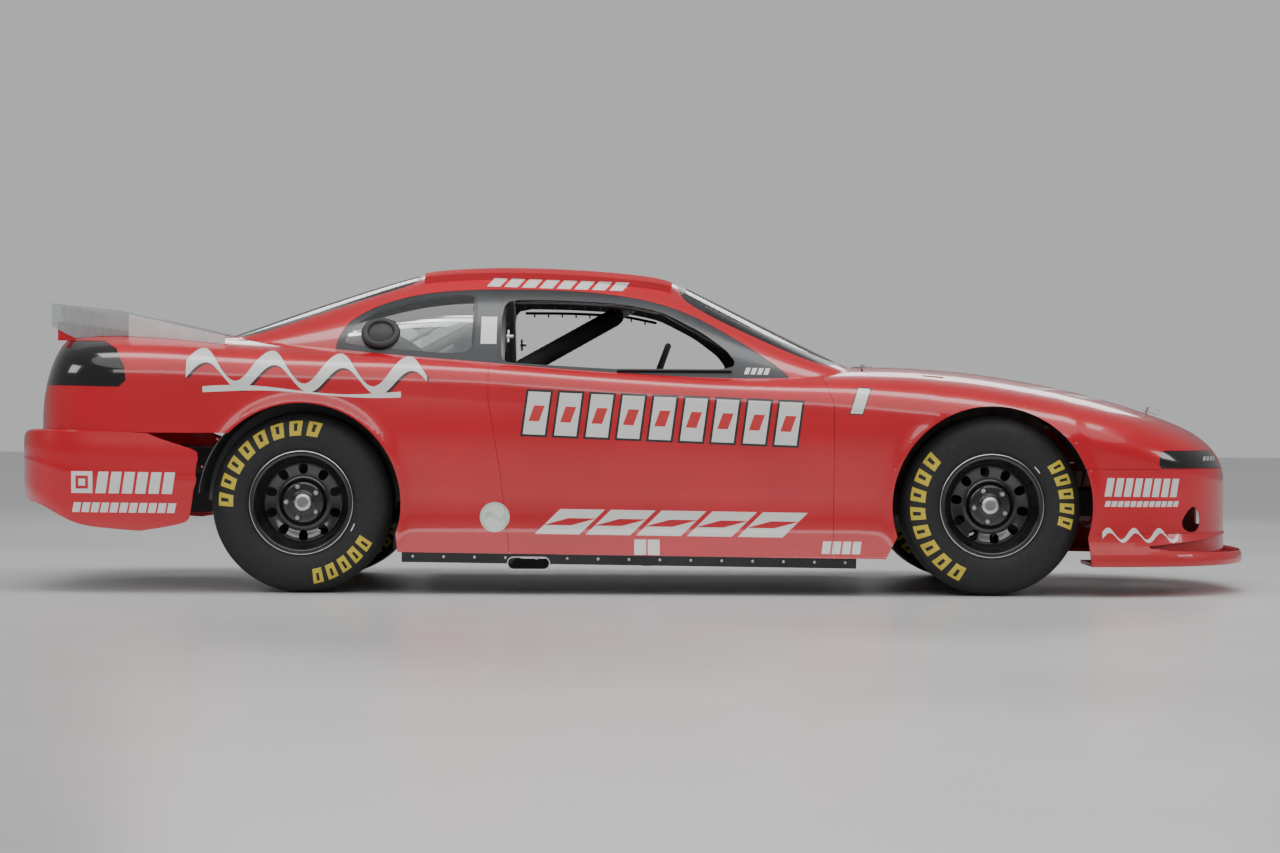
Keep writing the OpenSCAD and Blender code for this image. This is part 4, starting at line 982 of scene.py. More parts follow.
def roof_rise(x, y, z):
    on_cabin = cabin_rise(x, y, z)
    on_body = body_rise(x, y, z)
    return np.where(np.abs(on_body) < 0.0008, on_body, on_cabin)


def roof_marks(x, y, z):
    row = bar_row(x, z, (-0.61, -0.05), (1.212, 1.196), (1.248, 1.232), 8, 0.24, 0.05)
    return ((row * (abs(y) > 0.25), white_vinyl),)


faired(roof, roof_rise)
finished(roof, red_paint("red_roof_paint", roof_marks), "chassis", "red_paint", "roof_panel")

# ---- windshield and rear windows -------------------------------------------
# Formed polycarbonate, 4 mm, let into the roof moulding with a black printed border.
# The door openings have no glass.


def clear_sheet(name, border):
    """Hard-coated polycarbonate, with a share of black border from its coordinates."""
    glass = Finish(name)
    point, x, y, z = glass.place()
    wiped = glass.noise(glass.stretched(point, (6.0, 2.0, 14.0)), 8.0, 4.0, 0.6)
    sheen = glass.node("ShaderNodeFresnel", None, {"IOR": 1.45})
    clear = glass.node("ShaderNodeBsdfTransparent", None, {"Color": (0.93, 0.955, 0.95, 1)})
    gloss = glass.node("ShaderNodeBsdfGlossy", None, {"Color": (1, 1, 1, 1), "Roughness": 0.03})
    haze = glass.node("ShaderNodeBsdfDiffuse", None, {"Color": (0.7, 0.72, 0.73, 1)})
    pane = glass.node("ShaderNodeMixShader", None, {"Fac": 0.02 + 0.06 * wiped, 1: clear, 2: haze})
    pane = glass.node("ShaderNodeMixShader", None, {"Fac": sheen, 1: pane, 2: gloss})
    ink = glass.node("ShaderNodeBsdfPrincipled", None,
                     {"Base Color": (0.012, 0.012, 0.013, 1), "Roughness": 0.3})
    return glass.end(glass.node("ShaderNodeMixShader", None,
                                {"Fac": border(x, y, z), 1: pane, 2: ink}))


def screen_border(x, y, z):
    edge = abs(y) > 0.56 - 0.62 * abs(x - 0.62) ** 2.0
    foot = x > 0.775
    head = x < 0.185
    sticker = within(x, 0.17, 0.26) * (abs(y) > 0.42)
    return (edge | foot | head) * (1 - sticker)


glass_band = cabin_shell(0.004, 0.0008)
screen = carved("windshield_sheet", glass_band,
                ("INTERSECT", prism("tool", grown(screen_outline, -0.0004), "upright")),
                ("INTERSECT", over_body))
faired(screen, cabin_rise, 0.003)
finished(screen, clear_sheet("screen_sheet", screen_border), "chassis", "clear_sheet", "windshield")
rear_screen = carved("rear_screen", glass_band,
                     ("INTERSECT", prism("tool", grown(rear_outline, -0.0004), "upright")),
                     ("INTERSECT", over_body))
quarter_band = cabin_shell(0.004, 0.0015)
duct_x, duct_z, duct_r = -1.023, 1.018, 0.060
duct_hole = prism("tool", [(duct_x + duct_r * math.cos(a), duct_z + duct_r * math.sin(a))
                           for a in np.linspace(0, 2 * math.pi, 49)[:-1]], "across")
quarter_panes = carved("quarter_panes", quarter_band,
                       ("INTERSECT", prism("tool", grown(quarter_glass, -0.0004), "across")),
                       ("INTERSECT", over_body), ("DIFFERENCE", duct_hole))
for pane in (rear_screen, quarter_panes):
    faired(pane, cabin_rise, 0.003)


def rear_border(x, y, z):
    return (abs(y) > 0.50) * (x < -0.85) | (x > -0.90) * (z > 1.2) | (x < -1.62) * (abs(y) < 0.5)


def quarter_border(x, y, z):
    return within(x, -0.662, -0.60) * (z > 0.0)


rear_screen.data.materials.clear()
rear_screen.data.materials.append(clear_sheet("rear_sheet", rear_border))
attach(rear_screen, "chassis")
finished(quarter_panes, clear_sheet("quarter_sheet", quarter_border), "chassis", "clear_sheet")
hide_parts("rear_windows")

# ---- side window surround --------------------------------------------------
# A satin slate band round the door opening and the quarter pane, with a black turned edge,
# a white label on the pillar and a small block on its front point.
surround = carved("window_surround", cabin_shell(0.005, 0.001),
                  ("INTERSECT", prism("tool", grown(side_glass, -0.0004), "across")),
                  ("INTERSECT", over_body),
                  ("DIFFERENCE", prism("tool", door_window, "across")),
                  ("DIFFERENCE", prism("tool", quarter_glass, "across")))
faired(surround, cabin_rise, 0.003)
slate = Finish("slate_band")
point, x, y, z = slate.place()
fleck = slate.noise(point, 900.0, 1.0)
scuffs = slate.noise(slate.stretched(point, (2.0, 2.0, 30.0)), 9.0, 4.0, 0.65)
colour = slate.ramp(scuffs, (0.3, (0.012, 0.015, 0.019)), (0.75, (0.021, 0.026, 0.032)))
colour = slate.blend(within(x, -0.560, -0.542) | (x < -1.16) | (x > -0.60) * (z > 1.168), colour,
                     black_vinyl)
label = within(x, -0.628, -0.566) * within(z, 0.977, 1.086) | bar_row(
    x, z, (0.408, 0.510), (0.862, 0.860), (0.888, 0.886), 4, 0.3, 0.1)
colour = slate.blend(label, colour, white_vinyl)
slate.close(Base_Color=colour, Roughness=0.34 + 0.12 * scuffs, Coat_Weight=0.4, Coat_Roughness=0.15,
            Normal=slate.bump(fleck, 0.00008, 0.5))
finished(surround, slate.material, "chassis", "window_band", "window_trim")

# ---- light covers ----------------------------------------------------------
# Dark smoked covers stand where a road car has its lamps, front and rear.
cover_band = carved("tool", body_solid("tool", 0.001, 0.0, 0.9),
                    ("DIFFERENCE", body_solid("tool", 0.006, 0.05, 0.5)))
front_covers = carved("front_light_covers", cover_band,
                      ("INTERSECT", prism("tool", grown(headlight, -0.0003), "across")),
                      ("DIFFERENCE", slab("tool", (0, -header_y - seam / 2, 0),
                                          (3, header_y + seam / 2, 3))),
                      ("DIFFERENCE", prism("tool", grown(hood_outline, lid_gap / 2 + 0.001),
                                           "upright")),
                      ("DIFFERENCE", slab("tool", (nose_seam_x - 0.3, -3, -0.2),
                                          (3, 3, nose_seam_z + 0.0029))))
rear_covers = carved("rear_light_covers", cover_band,
                     ("INTERSECT", prism("tool", grown(tail_light, -0.0003), "across")),
                     ("DIFFERENCE", slab("tool", (tail_x, -tail_half_w - seam, 0),
                                         (tail_x + 0.6, tail_half_w + seam, 3))))
smoked = Finish("smoked_cover")
point, x, y, z = smoked.place()
swirl = smoked.noise(smoked.stretched(point, (2.0, 2.0, 12.0)), 12.0, 4.0, 0.6)
ribs = (z % 0.012) / 0.012
behind = smoked.ramp(ribs, (0.0, (0.004, 0.004, 0.004)), (1.0, (0.016, 0.013, 0.013)))
blocks = (bar_row(x, z, (2.235, 2.315), (0.530, 0.530), (0.546, 0.546), 4, 0.3, 0.1)
          * (abs(y) > 0.3))
smoked.close(Base_Color=smoked.blend(blocks, behind, (0.55, 0.55, 0.53)),
             Roughness=0.10 + 0.10 * swirl, Coat_Weight=1.0, Coat_Roughness=0.03,
             Normal=smoked.bump(swirl, 0.0002, 0.4))
for cover in (front_covers, rear_covers):
    faired(cover, lambda x, y, z: body_rise(x, y, z) + 0.001)
finished(front_covers, smoked.material, "chassis", "gloss_black")
finished(rear_covers, smoked.material, "chassis", "gloss_black", "light_covers")


# ---- wheels ----------------------------------------------------------------
# Pressed steel wheels, 15 inch, gloss black: a deep well, a dished disc with oval windows
# and five nuts on the hub circle. Each tyre is a bald slick with block arcs on its wall.


def lathe(name, profile, turns=128, closed=False):
    """A profile of (radius, y) turned about the y axis."""
    profile = np.asarray(profile, dtype=float)
    n = len(profile)
    angle = np.linspace(0, 2 * math.pi, turns + 1)[:-1]
    points = np.stack([np.outer(np.cos(angle), profile[:, 0]),
                       np.outer(np.ones(turns), profile[:, 1]),
                       np.outer(np.sin(angle), profile[:, 0])], axis=2).reshape(-1, 3)
    faces = []
    for i in range(turns):
        j = (i + 1) % turns
        for k in range(n if closed else n - 1):
            m = (k + 1) % n
            faces.append((i * n + k, i * n + m, j * n + m, j * n + k))
    mesh = bpy.data.meshes.new(name)
    mesh.from_pydata([tuple(p) for p in points], [], faces)
    work = bmesh.new()
    work.from_mesh(mesh)
    bmesh.ops.remove_doubles(work, verts=work.verts, dist=1e-6)
    bmesh.ops.recalc_face_normals(work, faces=work.faces)
    work.to_mesh(mesh)
    work.free()
    made = bpy.data.objects.new(name, mesh)
    scene.collection.objects.link(made)
    return made


def softened(piece, degrees=35):
    """Smooth shading, with edges sharper than this kept crisp."""
    work = bmesh.new()
    work.from_mesh(piece.data)
    limit = math.radians(degrees)
    for face in work.faces:
        face.smooth = True
    for edge in work.edges:
        edge.smooth = len(edge.link_faces) == 2 and edge.calc_face_angle(0) < limit
    work.to_mesh(piece.data)
    work.free()
    return piece


def joined(name, pieces):
    """Several working pieces as one mesh."""
    work = bmesh.new()
    for part in pieces:
        work.from_mesh(part.data)
        bpy.data.objects.remove(part)
    mesh = bpy.data.meshes.new(name)
    work.to_mesh(mesh)
    work.free()
    made = bpy.data.objects.new(name, mesh)
    scene.collection.objects.link(made)
    return made


def fillet(points, rounds=2):
    """An open line with its corners cut round, its ends kept."""
    p = np.asarray(points, dtype=float)
    for _ in range(rounds):
        ahead, behind = p[1:], p[:-1]
        inner = np.stack([behind + 0.25 * (ahead - behind), ahead - 0.25 * (ahead - behind)],
                         axis=1).reshape(-1, p.shape[1])
        p = np.vstack([p[:1], inner[1:-1], p[-1:]])
    return p


tyre_r = 0.352
wall = mm((190.5, 118.5), (205.1, 124.5), (206, 131), (216, 141), (232, 147.5), (256, 150),
          (282, 149), (304, 144), (322, 134), (337, 120), (346.5, 104), (351, 86), (352, 66))
wall = fillet(wall, 2)
grooves = []
for centre in (0.040, 0.0):
    grooves += [(tyre_r, centre + 0.0022), (tyre_r - 0.0018, centre + 0.0008),
                (tyre_r - 0.0018, centre - 0.0008), (tyre_r, centre - 0.0022)]
grooves += [(r, -y) for r, y in grooves[:4][::-1]]
carcase = mm((332, 70), (302, 116), (235.5, 132), (194.5, 104.5), (190.5, 104.5))
tyre_profile = np.vstack([wall, grooves, (wall * (1, -1))[::-1],
                          (carcase * (1, -1))[::-1], carcase])
tyre_shape = softened(lathe("tool", tyre_profile, 160, True), 40)

rubber = Finish("slick_rubber")
point, x, y, z = rubber.place()
radius = (x * x + z * z) ** 0.5
turn = z.angle_to(x) * (180 / math.pi)
grain = rubber.noise(point, 60.0, 5.0, 0.6)
fine = rubber.noise(point, 420.0, 2.0)


def wall_blocks(start, stop, count):
    """An arc of plain blocks on the wall, angles in degrees."""
    run = (turn - start) % 360.0 / (stop - start)
    part = (run * count) % 1.0
    slant = (radius - 0.295) * 1.6
    bars = within(part + slant, 0.16, 0.84) * (run < 1.0)
    hollow = within(part + slant, 0.40, 0.60) * within(radius, 0.280, 0.310)
    return bars * within(radius, 0.262, 0.328) * (1 - hollow)


outside = abs(y) > 0.135
blocks = (wall_blocks(73, 185, 8) | wall_blocks(-82, -27, 5)) * outside
dash = within(turn, -29, -21) * within(radius, 0.2225, 0.2265) * outside
colour = rubber.ramp(grain, (0.3, (0.013, 0.013, 0.014)), (0.75, (0.026, 0.026, 0.027)))
tread = (abs(y) < 0.10) * (radius > 0.34)
colour = rubber.blend(tread * (0.35 + 0.5 * grain), colour, (0.050, 0.047, 0.044))
colour = rubber.blend(blocks * (0.92 - 0.25 * (grain > 0.62)), colour, (0.72, 0.56, 0.05))
colour = rubber.blend(dash, colour, white_vinyl)
rings = (radius * 260.0).sin()
rubber.close(Base_Color=colour, Roughness=0.50 + 0.22 * grain, Specular_IOR_Level=0.4,
             Normal=rubber.bump(fine + 0.6 * rings * (abs(y) > 0.1) + 1.2 * blocks, 0.0004, 0.6))

inner_line = fillet(mm((166.5, 32), (166.5, 49), (182.5, 69), (182.5, 128), (187, 131), (201, 131),
                       (204.5, 129)), 2)
outer_line = fillet(mm((204.5, 129), (204.5, 125.5), (200, 123.5), (190.2, 118), (190.2, 71),
                       (174.5, 51), (174.5, 0)), 2)
half_line = np.vstack([inner_line, outer_line])
barrel_profile = np.vstack([half_line, (half_line * (1, -1))[::-1]])
disc_front = fillet(mm((175, 32), (166, 32), (158, 36), (150, 40), (132, 36), (112, 30),
                       (96, 31), (86, 38), (82, 52), (60, 54), (44, 54), (40, 58), (20.4, 58)), 2)
disc_back = fillet(mm((20.4, 44), (60, 44), (72, 42), (80, 28), (96, 22), (112, 21), (132, 27),
                      (150, 31), (158, 28), (166, 22), (175, 22)), 1)
disc_profile = np.vstack([disc_front, disc_back])


def oval_cutter(angle):
    """A rounded window through the disc, wider towards the rim."""
    t = np.linspace(0, 2 * math.pi, 25)[:-1]
    across = 0.021 * np.sign(np.cos(t)) * np.abs(np.cos(t)) ** 0.8
    out = 0.131 + 0.021 * np.sign(np.sin(t)) * np.abs(np.sin(t)) ** 0.8
    across = across * (0.85 + 3.2 * (out - 0.131))
    ca, sa = math.cos(angle), math.sin(angle)
    return prism("tool", [(o * ca - a * sa, o * sa + a * ca) for a, o in zip(across, out)],
                 "across", -0.02, 0.08)


disc_solid = lathe("tool", disc_profile, 120, True)
windows = [("DIFFERENCE", oval_cutter(2 * math.pi * k / 10 + 0.31)) for k in range(10)]
disc_cut = softened(carved("tool", disc_solid, *windows), 32)
barrel_solid = softened(lathe("tool", barrel_profile, 160, True), 32)
cap_line = fillet(mm((0.01, 72), (24, 72), (33, 69), (37, 63), (37, 57)), 2)
hub_cap = softened(lathe("tool", cap_line, 64), 40)
cap_dimple = softened(lathe("tool", mm((0.01, 73.5), (9, 73.5), (11, 72), (11, 71)), 32), 40)

# The nuts are cones with six flats, set by a small tree of nodes round the hub circle.
nut_tree = bpy.data.node_groups.new("wheel_nuts", "GeometryNodeTree")
nut_sizes = (("Nuts", "NodeSocketInt", 5), ("Circle radius", "NodeSocketFloat", 0.0645),
             ("Nut radius", "NodeSocketFloat", 0.0145), ("Nut height", "NodeSocketFloat", 0.020),
             ("Steel", "NodeSocketMaterial", None))


def tree_sockets(tree, rows):
    """Named inputs for a node tree, by identifier, and its one output."""
    found = {}
    for title, kind, value in rows:
        made = tree.interface.new_socket(title, in_out="INPUT", socket_type=kind)
        if value is not None:
            made.default_value = value
        found[title] = made.identifier
    tree.interface.new_socket("Geometry", in_out="OUTPUT", socket_type="NodeSocketGeometry")
    return found


class Bench:
    """Lays nodes in a geometry tree: each call makes one, sets it up and wires its inputs."""

    def __init__(self, tree):
        self.tree = tree
        self.entry = tree.nodes.new("NodeGroupInput")

    def __call__(self, kind, settings=None, inputs=None):
        made = self.tree.nodes.new(kind)
        for key, value in (settings or {}).items():
            setattr(made, key, value)
        for key, value in (inputs or {}).items():
            if isinstance(value, bpy.types.NodeSocket):
                self.tree.links.new(value, made.inputs[key])
            else:
                made.inputs[key].default_value = value
        return made

    def given(self, title):
        return self.entry.outputs[title]

    def finish(self, geometry, material):
        real = self("GeometryNodeRealizeInstances", None, {0: geometry})
        coat = self("GeometryNodeSetMaterial", None,
                    {"Geometry": real.outputs[0], "Material": material})
        self("NodeGroupOutput", None, {0: coat.outputs[0]})


nut_inputs = tree_sockets(nut_tree, nut_sizes)
bench = Bench(nut_tree)
ring = bench("GeometryNodeMeshCircle", None, {"Vertices": bench.given("Nuts"),
                                              "Radius": bench.given("Circle radius")})
nut = bench("GeometryNodeMeshCone", None,
            {"Vertices": 6, "Radius Bottom": bench.given("Nut radius"),
             "Radius Top": 0.0095, "Depth": bench.given("Nut height")})
stud = bench("GeometryNodeMeshCylinder", None, {"Vertices": 12, "Radius": 0.0055, "Depth": 0.034})
stud_up = bench("GeometryNodeTransform", None,
                {"Geometry": stud.outputs[0], "Translation": (0, 0, 0.014)})
both = bench("GeometryNodeJoinGeometry", None, {0: nut.outputs[0]})
nut_tree.links.new(stud_up.outputs[0], both.inputs[0])
placed = bench("GeometryNodeInstanceOnPoints", None, {"Points": ring.outputs[0],
                                                      "Instance": both.outputs[0]})
tipped = bench("GeometryNodeTransform", None, {"Geometry": placed.outputs[0],
                                               "Rotation": (math.radians(-90), 0, 0),
                                               "Translation": (0, 0.054, 0)})
bench.finish(tipped.outputs[0], bench.given("Steel"))


def grown_by(name, tree, inputs, values):
    """The mesh a node tree makes with these values for its named inputs."""
    seedling = bpy.data.objects.new(name, bpy.data.meshes.new(name))
    scene.collection.objects.link(seedling)
    maker = seedling.modifiers.new("maker", "NODES")
    maker.node_group = tree
    for title, value in values.items():
        maker[inputs[title]] = value
    graph = bpy.context.evaluated_depsgraph_get()
    mesh = bpy.data.meshes.new_from_object(seedling.evaluated_get(graph), depsgraph=graph)
    seedling.modifiers.clear()
    seedling.data = mesh
    mesh.name = name
    return seedling


def metal(name, dark, light, rough, metallic=1.0, scale=8.0, grain=(1.0, 1.0, 1.0), coat=0.0):
    """A metal or hard coating: two tones drifting, fine scratches and handling marks."""
    made = Finish(name)
    point, x, y, z = made.place()
    drift = made.noise(point, scale, 4.0, 0.6)
    lines = made.noise(made.stretched(point, grain), 120.0, 3.0, 0.6)
    made.close(Base_Color=made.ramp(drift, (0.3, dark), (0.72, light)),
               Metallic=metallic, Roughness=rough + 0.16 * drift + 0.06 * lines,
               Coat_Weight=coat, Coat_Roughness=0.08,
               Normal=made.bump(lines + 0.5 * drift, 0.00012, 0.5))
    return made.material


bare_steel = metal("zinc_plated_steel", (0.42, 0.42, 0.43), (0.62, 0.62, 0.62), 0.24)
rim_black = Finish("wheel_enamel")
point, x, y, z = rim_black.place()
radius = (x * x + z * z) ** 0.5
speck = rim_black.noise(point, 90.0, 4.0, 0.6)
# Thin bare-metal rings on the outer lip edges: partly paint worn through, partly a painted
# highlight where the lips catch the overhead light.
wear_and_highlight_rings = within(radius, 0.2002, 0.2026) | within(radius, 0.1812, 0.1830)
wear_and_highlight_rings = wear_and_highlight_rings * (abs(y) > 0.126)
dust = rim_black.noise(point, 20.0, 5.0, 0.65)
colour = rim_black.ramp(dust, (0.3, (0.006, 0.006, 0.007)), (0.8, (0.020, 0.019, 0.018)))
rim_black.close(Base_Color=rim_black.blend(wear_and_highlight_rings, colour, (0.66, 0.66, 0.66)),
                Metallic=0.9 * wear_and_highlight_rings, Roughness=0.14 + 0.18 * dust,
                Coat_Weight=0.9, Coat_Roughness=0.05,
                Normal=rim_black.bump(speck, 0.0001, 0.5))
brushed = metal("brushed_cap", (0.60, 0.60, 0.60), (0.80, 0.80, 0.79), 0.20, grain=(8, 1, 1))
nuts_shape = grown_by("tool", nut_tree, nut_inputs, {
    "Nuts": 5, "Circle radius": 0.0645, "Nut radius": 0.0145, "Nut height": 0.020,
    "Steel": bare_steel})


def at_wheel(name, shapes, axle_x, side, half_turn=0.0):
    """Copies of shapes, all facing out, moved to a wheel."""
    parts = []
    for shape in shapes:
        part = bpy.data.objects.new(name, shape.data.copy())
        scene.collection.objects.link(part)
        parts.append(part)
    made = joined(name, parts) if len(parts) > 1 else parts[0]
    count = len(made.data.vertices)
    spots = np.empty(count * 3)
    made.data.vertices.foreach_get("co", spots)
    spots = spots.reshape(-1, 3)
    ca, sa = math.cos(half_turn), math.sin(half_turn)
    turned = spots @ np.array([[ca, 0, sa], [0, 1, 0], [-sa, 0, ca]])
    if side < 0:
        turned = turned * (-1, -1, 1)
    made.data.vertices.foreach_set("co", (turned + (axle_x, side * wheel_y, axle_z)).ravel())
    made.data.update()
    return made


def centred(finish, axle_x, side, lag):
    """A copy of a wheel's finish whose pattern is centred on that wheel and turned by lag."""
    copy = finish.material.copy()
    copy.name = f"{finish.material.name}_{'f' if axle_x > 0 else 'r'}{'l' if side > 0 else 'r'}"
    tree = copy.node_tree
    source = next(n for n in tree.nodes if n.type == "TEX_COORD")
    shift = tree.nodes.new("ShaderNodeMapping")
    c, s = math.cos(lag), math.sin(lag)
    shift.inputs["Rotation"].default_value = (0, lag, 0)
    shift.inputs["Location"].default_value = (
        -axle_x * c - axle_z * s, -side * wheel_y, axle_x * s - axle_z * c)
    for link in list(source.outputs["Object"].links):
        tree.links.new(shift.outputs[0], link.to_socket)
    tree.links.new(source.outputs["Object"], shift.inputs["Vector"])
    return copy


wheel_rows = [(f"{end}_{name}", axle_x, side)
              for end, axle_x in (("front", front_x), ("rear", rear_x))
              for name, side in sides]
for corner, axle_x, side in wheel_rows:
    body = f"{corner}_wheel"
    lag = math.radians(64 if axle_x > 0 else 0)
    tyre = at_wheel(f"{corner}_slick", [tyre_shape], axle_x, side)
    finished(tyre, centred(rubber, axle_x, side, lag), body, "tyre", f"{corner}_tyre")
    wheel = at_wheel(f"{corner}_steel_wheel", [barrel_solid, disc_cut], axle_x, side, lag)
    finished(wheel, centred(rim_black, axle_x, side, lag), body, "wheel_black", f"{corner}_rim")
    cap = at_wheel(f"{corner}_hub_cap", [hub_cap, cap_dimple], axle_x, side)
    finished(cap, brushed, body, "bare_steel")
    nuts = at_wheel(f"{corner}_wheel_nuts", [nuts_shape], axle_x, side, lag)
    finished(nuts, bare_steel, body, "bare_steel")


# ---- roll cage -------------------------------------------------------------
# Seamless steel tube, 44 mm, bent and welded, and painted pale grey. The diagonal bar wears
# a black padded sleeve where the driver's head could meet it.
tube_r = 0.022
hoop_x, hoop_half_w = -0.560, 0.440


def tube(points, radius, turns=20, rounds=2, ends=True):
    """A round bar along a line whose corners are bent and not mitred."""
    line = np.asarray(points, dtype=float)
    if len(line) > 2 and rounds:
        p = line
        out = [p[0]]
        for k in range(1, len(p) - 1):
            before, after = p[k - 1] - p[k], p[k + 1] - p[k]
            bend = min(0.075, 0.4 * np.linalg.norm(before), 0.4 * np.linalg.norm(after))
            a = p[k] + before / np.linalg.norm(before) * bend
            b = p[k] + after / np.linalg.norm(after) * bend
            for t in np.linspace(0, 1, 9):
                out.append((1 - t) ** 2 * a + 2 * t * (1 - t) * p[k] + t * t * b)
        out.append(p[-1])
        line = np.array(out)
    ahead = np.gradient(line, axis=0)
    ahead /= np.linalg.norm(ahead, axis=1)[:, None]
    guide = np.array([0, 0, 1.0]) if abs(ahead[0][2]) < 0.9 else np.array([1.0, 0, 0])
    side_axis = np.cross(ahead[0], guide)
    angle = np.linspace(0, 2 * math.pi, turns + 1)[:-1]
    radii = np.broadcast_to(radius, len(line))
    rows = []
    for point, direction, r in zip(line, ahead, radii):
        side_axis = side_axis - direction * np.dot(side_axis, direction)
        side_axis /= np.linalg.norm(side_axis)
        up_axis = np.cross(direction, side_axis)
        rows.append(point + r * (np.cos(angle)[:, None] * side_axis
                                 + np.sin(angle)[:, None] * up_axis))
    points = np.array(rows).reshape(-1, 3)
    count = len(line)
    faces = [(i * turns + k, i * turns + (k + 1) % turns, (i + 1) * turns + (k + 1) % turns,
              (i + 1) * turns + k) for i in range(count - 1) for k in range(turns)]
    if ends:
        faces += [list(range(turns))[::-1], [(count - 1) * turns + k for k in range(turns)]]
    return softened(solid("tool", points, faces), 50)


foot = 0.2676
foot_y = 0.640
hoop = [(hoop_x, -foot_y, foot), (hoop_x, -foot_y, 0.330), (hoop_x, -0.690, 0.850),
        (hoop_x, -hoop_half_w, 1.212), (hoop_x, hoop_half_w, 1.212), (hoop_x, 0.690, 0.850),
        (hoop_x, foot_y, 0.330), (hoop_x, foot_y, foot)]
bars = [tube(hoop, tube_r)]
for _, s in sides:
    bars.append(tube([(hoop_x, s * 0.437, 1.212), (0.030, s * 0.430, 1.190),
                      (0.676, s * foot_y, 0.842), (0.680, s * foot_y, foot)], tube_r))
    bars.append(tube([(hoop_x, s * 0.512, 1.108), (-1.450, s * 0.430, 0.640),
                      (-1.450, s * 0.430, 0.5633)], tube_r))
    for z in (0.420, 0.600):
        bars.append(tube([(hoop_x, s * (foot_y + 0.050 * (z - 0.330) / 0.520), z),
                          (0.680, s * foot_y, z + 0.003)], tube_r))
bars.append(tube([(0.031, -0.430, 1.189), (0.031, 0.430, 1.189)], tube_r))
diagonal = np.array([(hoop_x, -0.684, 0.830), (0.030, 0.0, 1.184)])
bars.append(tube(diagonal, tube_r))
cage_finish = metal("cage_enamel", (0.34, 0.35, 0.36), (0.44, 0.45, 0.46), 0.30, 0.0, 5.0,
                    (1, 1, 1), 0.35)
cage = joined("cage_tubes", bars)
finished(cage, cage_finish, "chassis", "cage_paint", "roll_cage")
share = np.linspace(0.12, 0.80, 60)[:, None]
sleeve_line = diagonal[0] + share * (diagonal[1] - diagonal[0])
end_taper = np.clip(np.minimum(np.arange(60), 59 - np.arange(60)) / 3.0, 0, 1)
sleeve_r = 0.0235 + 0.0135 * end_taper**0.5 + 0.0008 * np.sin(np.arange(60) * 2.1)
sleeve = tube(sleeve_line, sleeve_r, 28, 0)
softened(sleeve, 80)
foam = Finish("foam_sleeve")
point, x, y, z = foam.place()
pores = foam.noise(point, 420.0, 3.0, 0.7)
folds = foam.noise(point, 18.0, 3.0, 0.6)
foam.close(Base_Color=foam.ramp(folds, (0.3, (0.008, 0.008, 0.009)), (0.8, (0.022, 0.022, 0.024))),
           Roughness=0.62 + 0.25 * folds, Normal=foam.bump(pores + 2.0 * folds, 0.0008, 0.7))
sleeve.name = "bar_padding"
finished(sleeve, foam.material, "chassis", "grip_rubber")

# ---- driver seat -----------------------------------------------------------
# A bucket seat for one, tall and narrow, with side bolsters and a headrest, covered in navy
# cloth with sewn channels, on an alloy shell bolted to the floor.
seat_y = 0.382
cloth = Finish("navy_seat_cloth")
point, x, y, z = cloth.place()
warp = (x * 900.0).sin() * (y * 900.0).sin() + (z * 900.0).sin()
nap = cloth.noise(point, 30.0, 4.0, 0.6)
stitch = (abs((z * 14.0) % 1.0 - 0.5) < 0.03) * (abs(y - seat_y) < 0.16)
colour = cloth.ramp(nap, (0.3, (0.010, 0.014, 0.040)), (0.75, (0.020, 0.027, 0.070)))
cloth.close(Base_Color=cloth.blend(stitch * 0.6, colour, (0.10, 0.11, 0.16)),
            Roughness=0.80 + 0.15 * nap, Sheen_Weight=0.4,
            Normal=cloth.bump(warp + 3.0 * nap - 2.0 * stitch, 0.0005, 0.6))


def cushion(name, corners, thick, bulge, channels=0):
    """A crowned pad on a four-cornered base: corners of its face, its thickness, its crown."""
    a, b, c, d = (np.array(p, dtype=float) for p in corners)
    n = 26
    u = np.linspace(-1, 1, n)
    uu, vv = np.meshgrid(u, u, indexing="ij")
    pinch = 1 - 0.055 * (uu**2 * vv**2)
    su, sv = (uu * pinch + 1) / 2, (vv * pinch + 1) / 2
    base = ((1 - su)[..., None] * (1 - sv)[..., None] * a + su[..., None] * (1 - sv)[..., None] * b
            + su[..., None] * sv[..., None] * c + (1 - su)[..., None] * sv[..., None] * d)
    out = np.cross(b - a, d - a)
    out /= np.linalg.norm(out)
    crown_h = thick * ((1 - np.abs(uu) ** 6) * (1 - np.abs(vv) ** 6)) ** 0.5
    crown_h = crown_h + bulge * (1 - uu**2) * (1 - vv**2)
    if channels:
        from_seam = ((vv + 1) / 2 * channels) % 1.0 - 0.5
        crown_h = crown_h - 0.006 * np.exp(-(from_seam / 0.09) ** 2) * (np.abs(uu) < 0.9)
    top = base + out * crown_h[..., None]
    points = np.vstack([top.reshape(-1, 3), base.reshape(-1, 3)])
    faces = []
    for i in range(n - 1):
        for j in range(n - 1):
            k = i * n + j
            faces.append((k, k + 1, k + n + 1, k + n))
            faces.append(tuple(n * n + q for q in (k, k + n, k + n + 1, k + 1)))
    rim = ([(0, j) for j in range(n)] + [(i, n - 1) for i in range(1, n)]
           + [(n - 1, j) for j in range(n - 2, -1, -1)] + [(i, 0) for i in range(n - 2, 0, -1)])
    rim = [i * n + j for i, j in rim]
    for k, p in enumerate(rim):
        q = rim[(k + 1) % len(rim)]
        faces.append((p, q, n * n + q, n * n + p))
    made = solid(name, points, faces)
    softened(made, 75)
    return made


seat_front_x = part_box("driver_seat")[1][0]
seat_back_x = seat_front_x - 0.51 + 0.012
lean_back = math.radians(16)
up = np.array([-math.sin(lean_back), 0, math.cos(lean_back)])
fore = np.array([math.cos(lean_back), 0, math.sin(lean_back)])


def back_point(rise, half, out=0.0):
    """A place on the leaning seat back: up its slope, to one side, and out from its face."""
    start = np.array([seat_back_x, seat_y + half, 0.235])
    return start + up * rise + fore * out


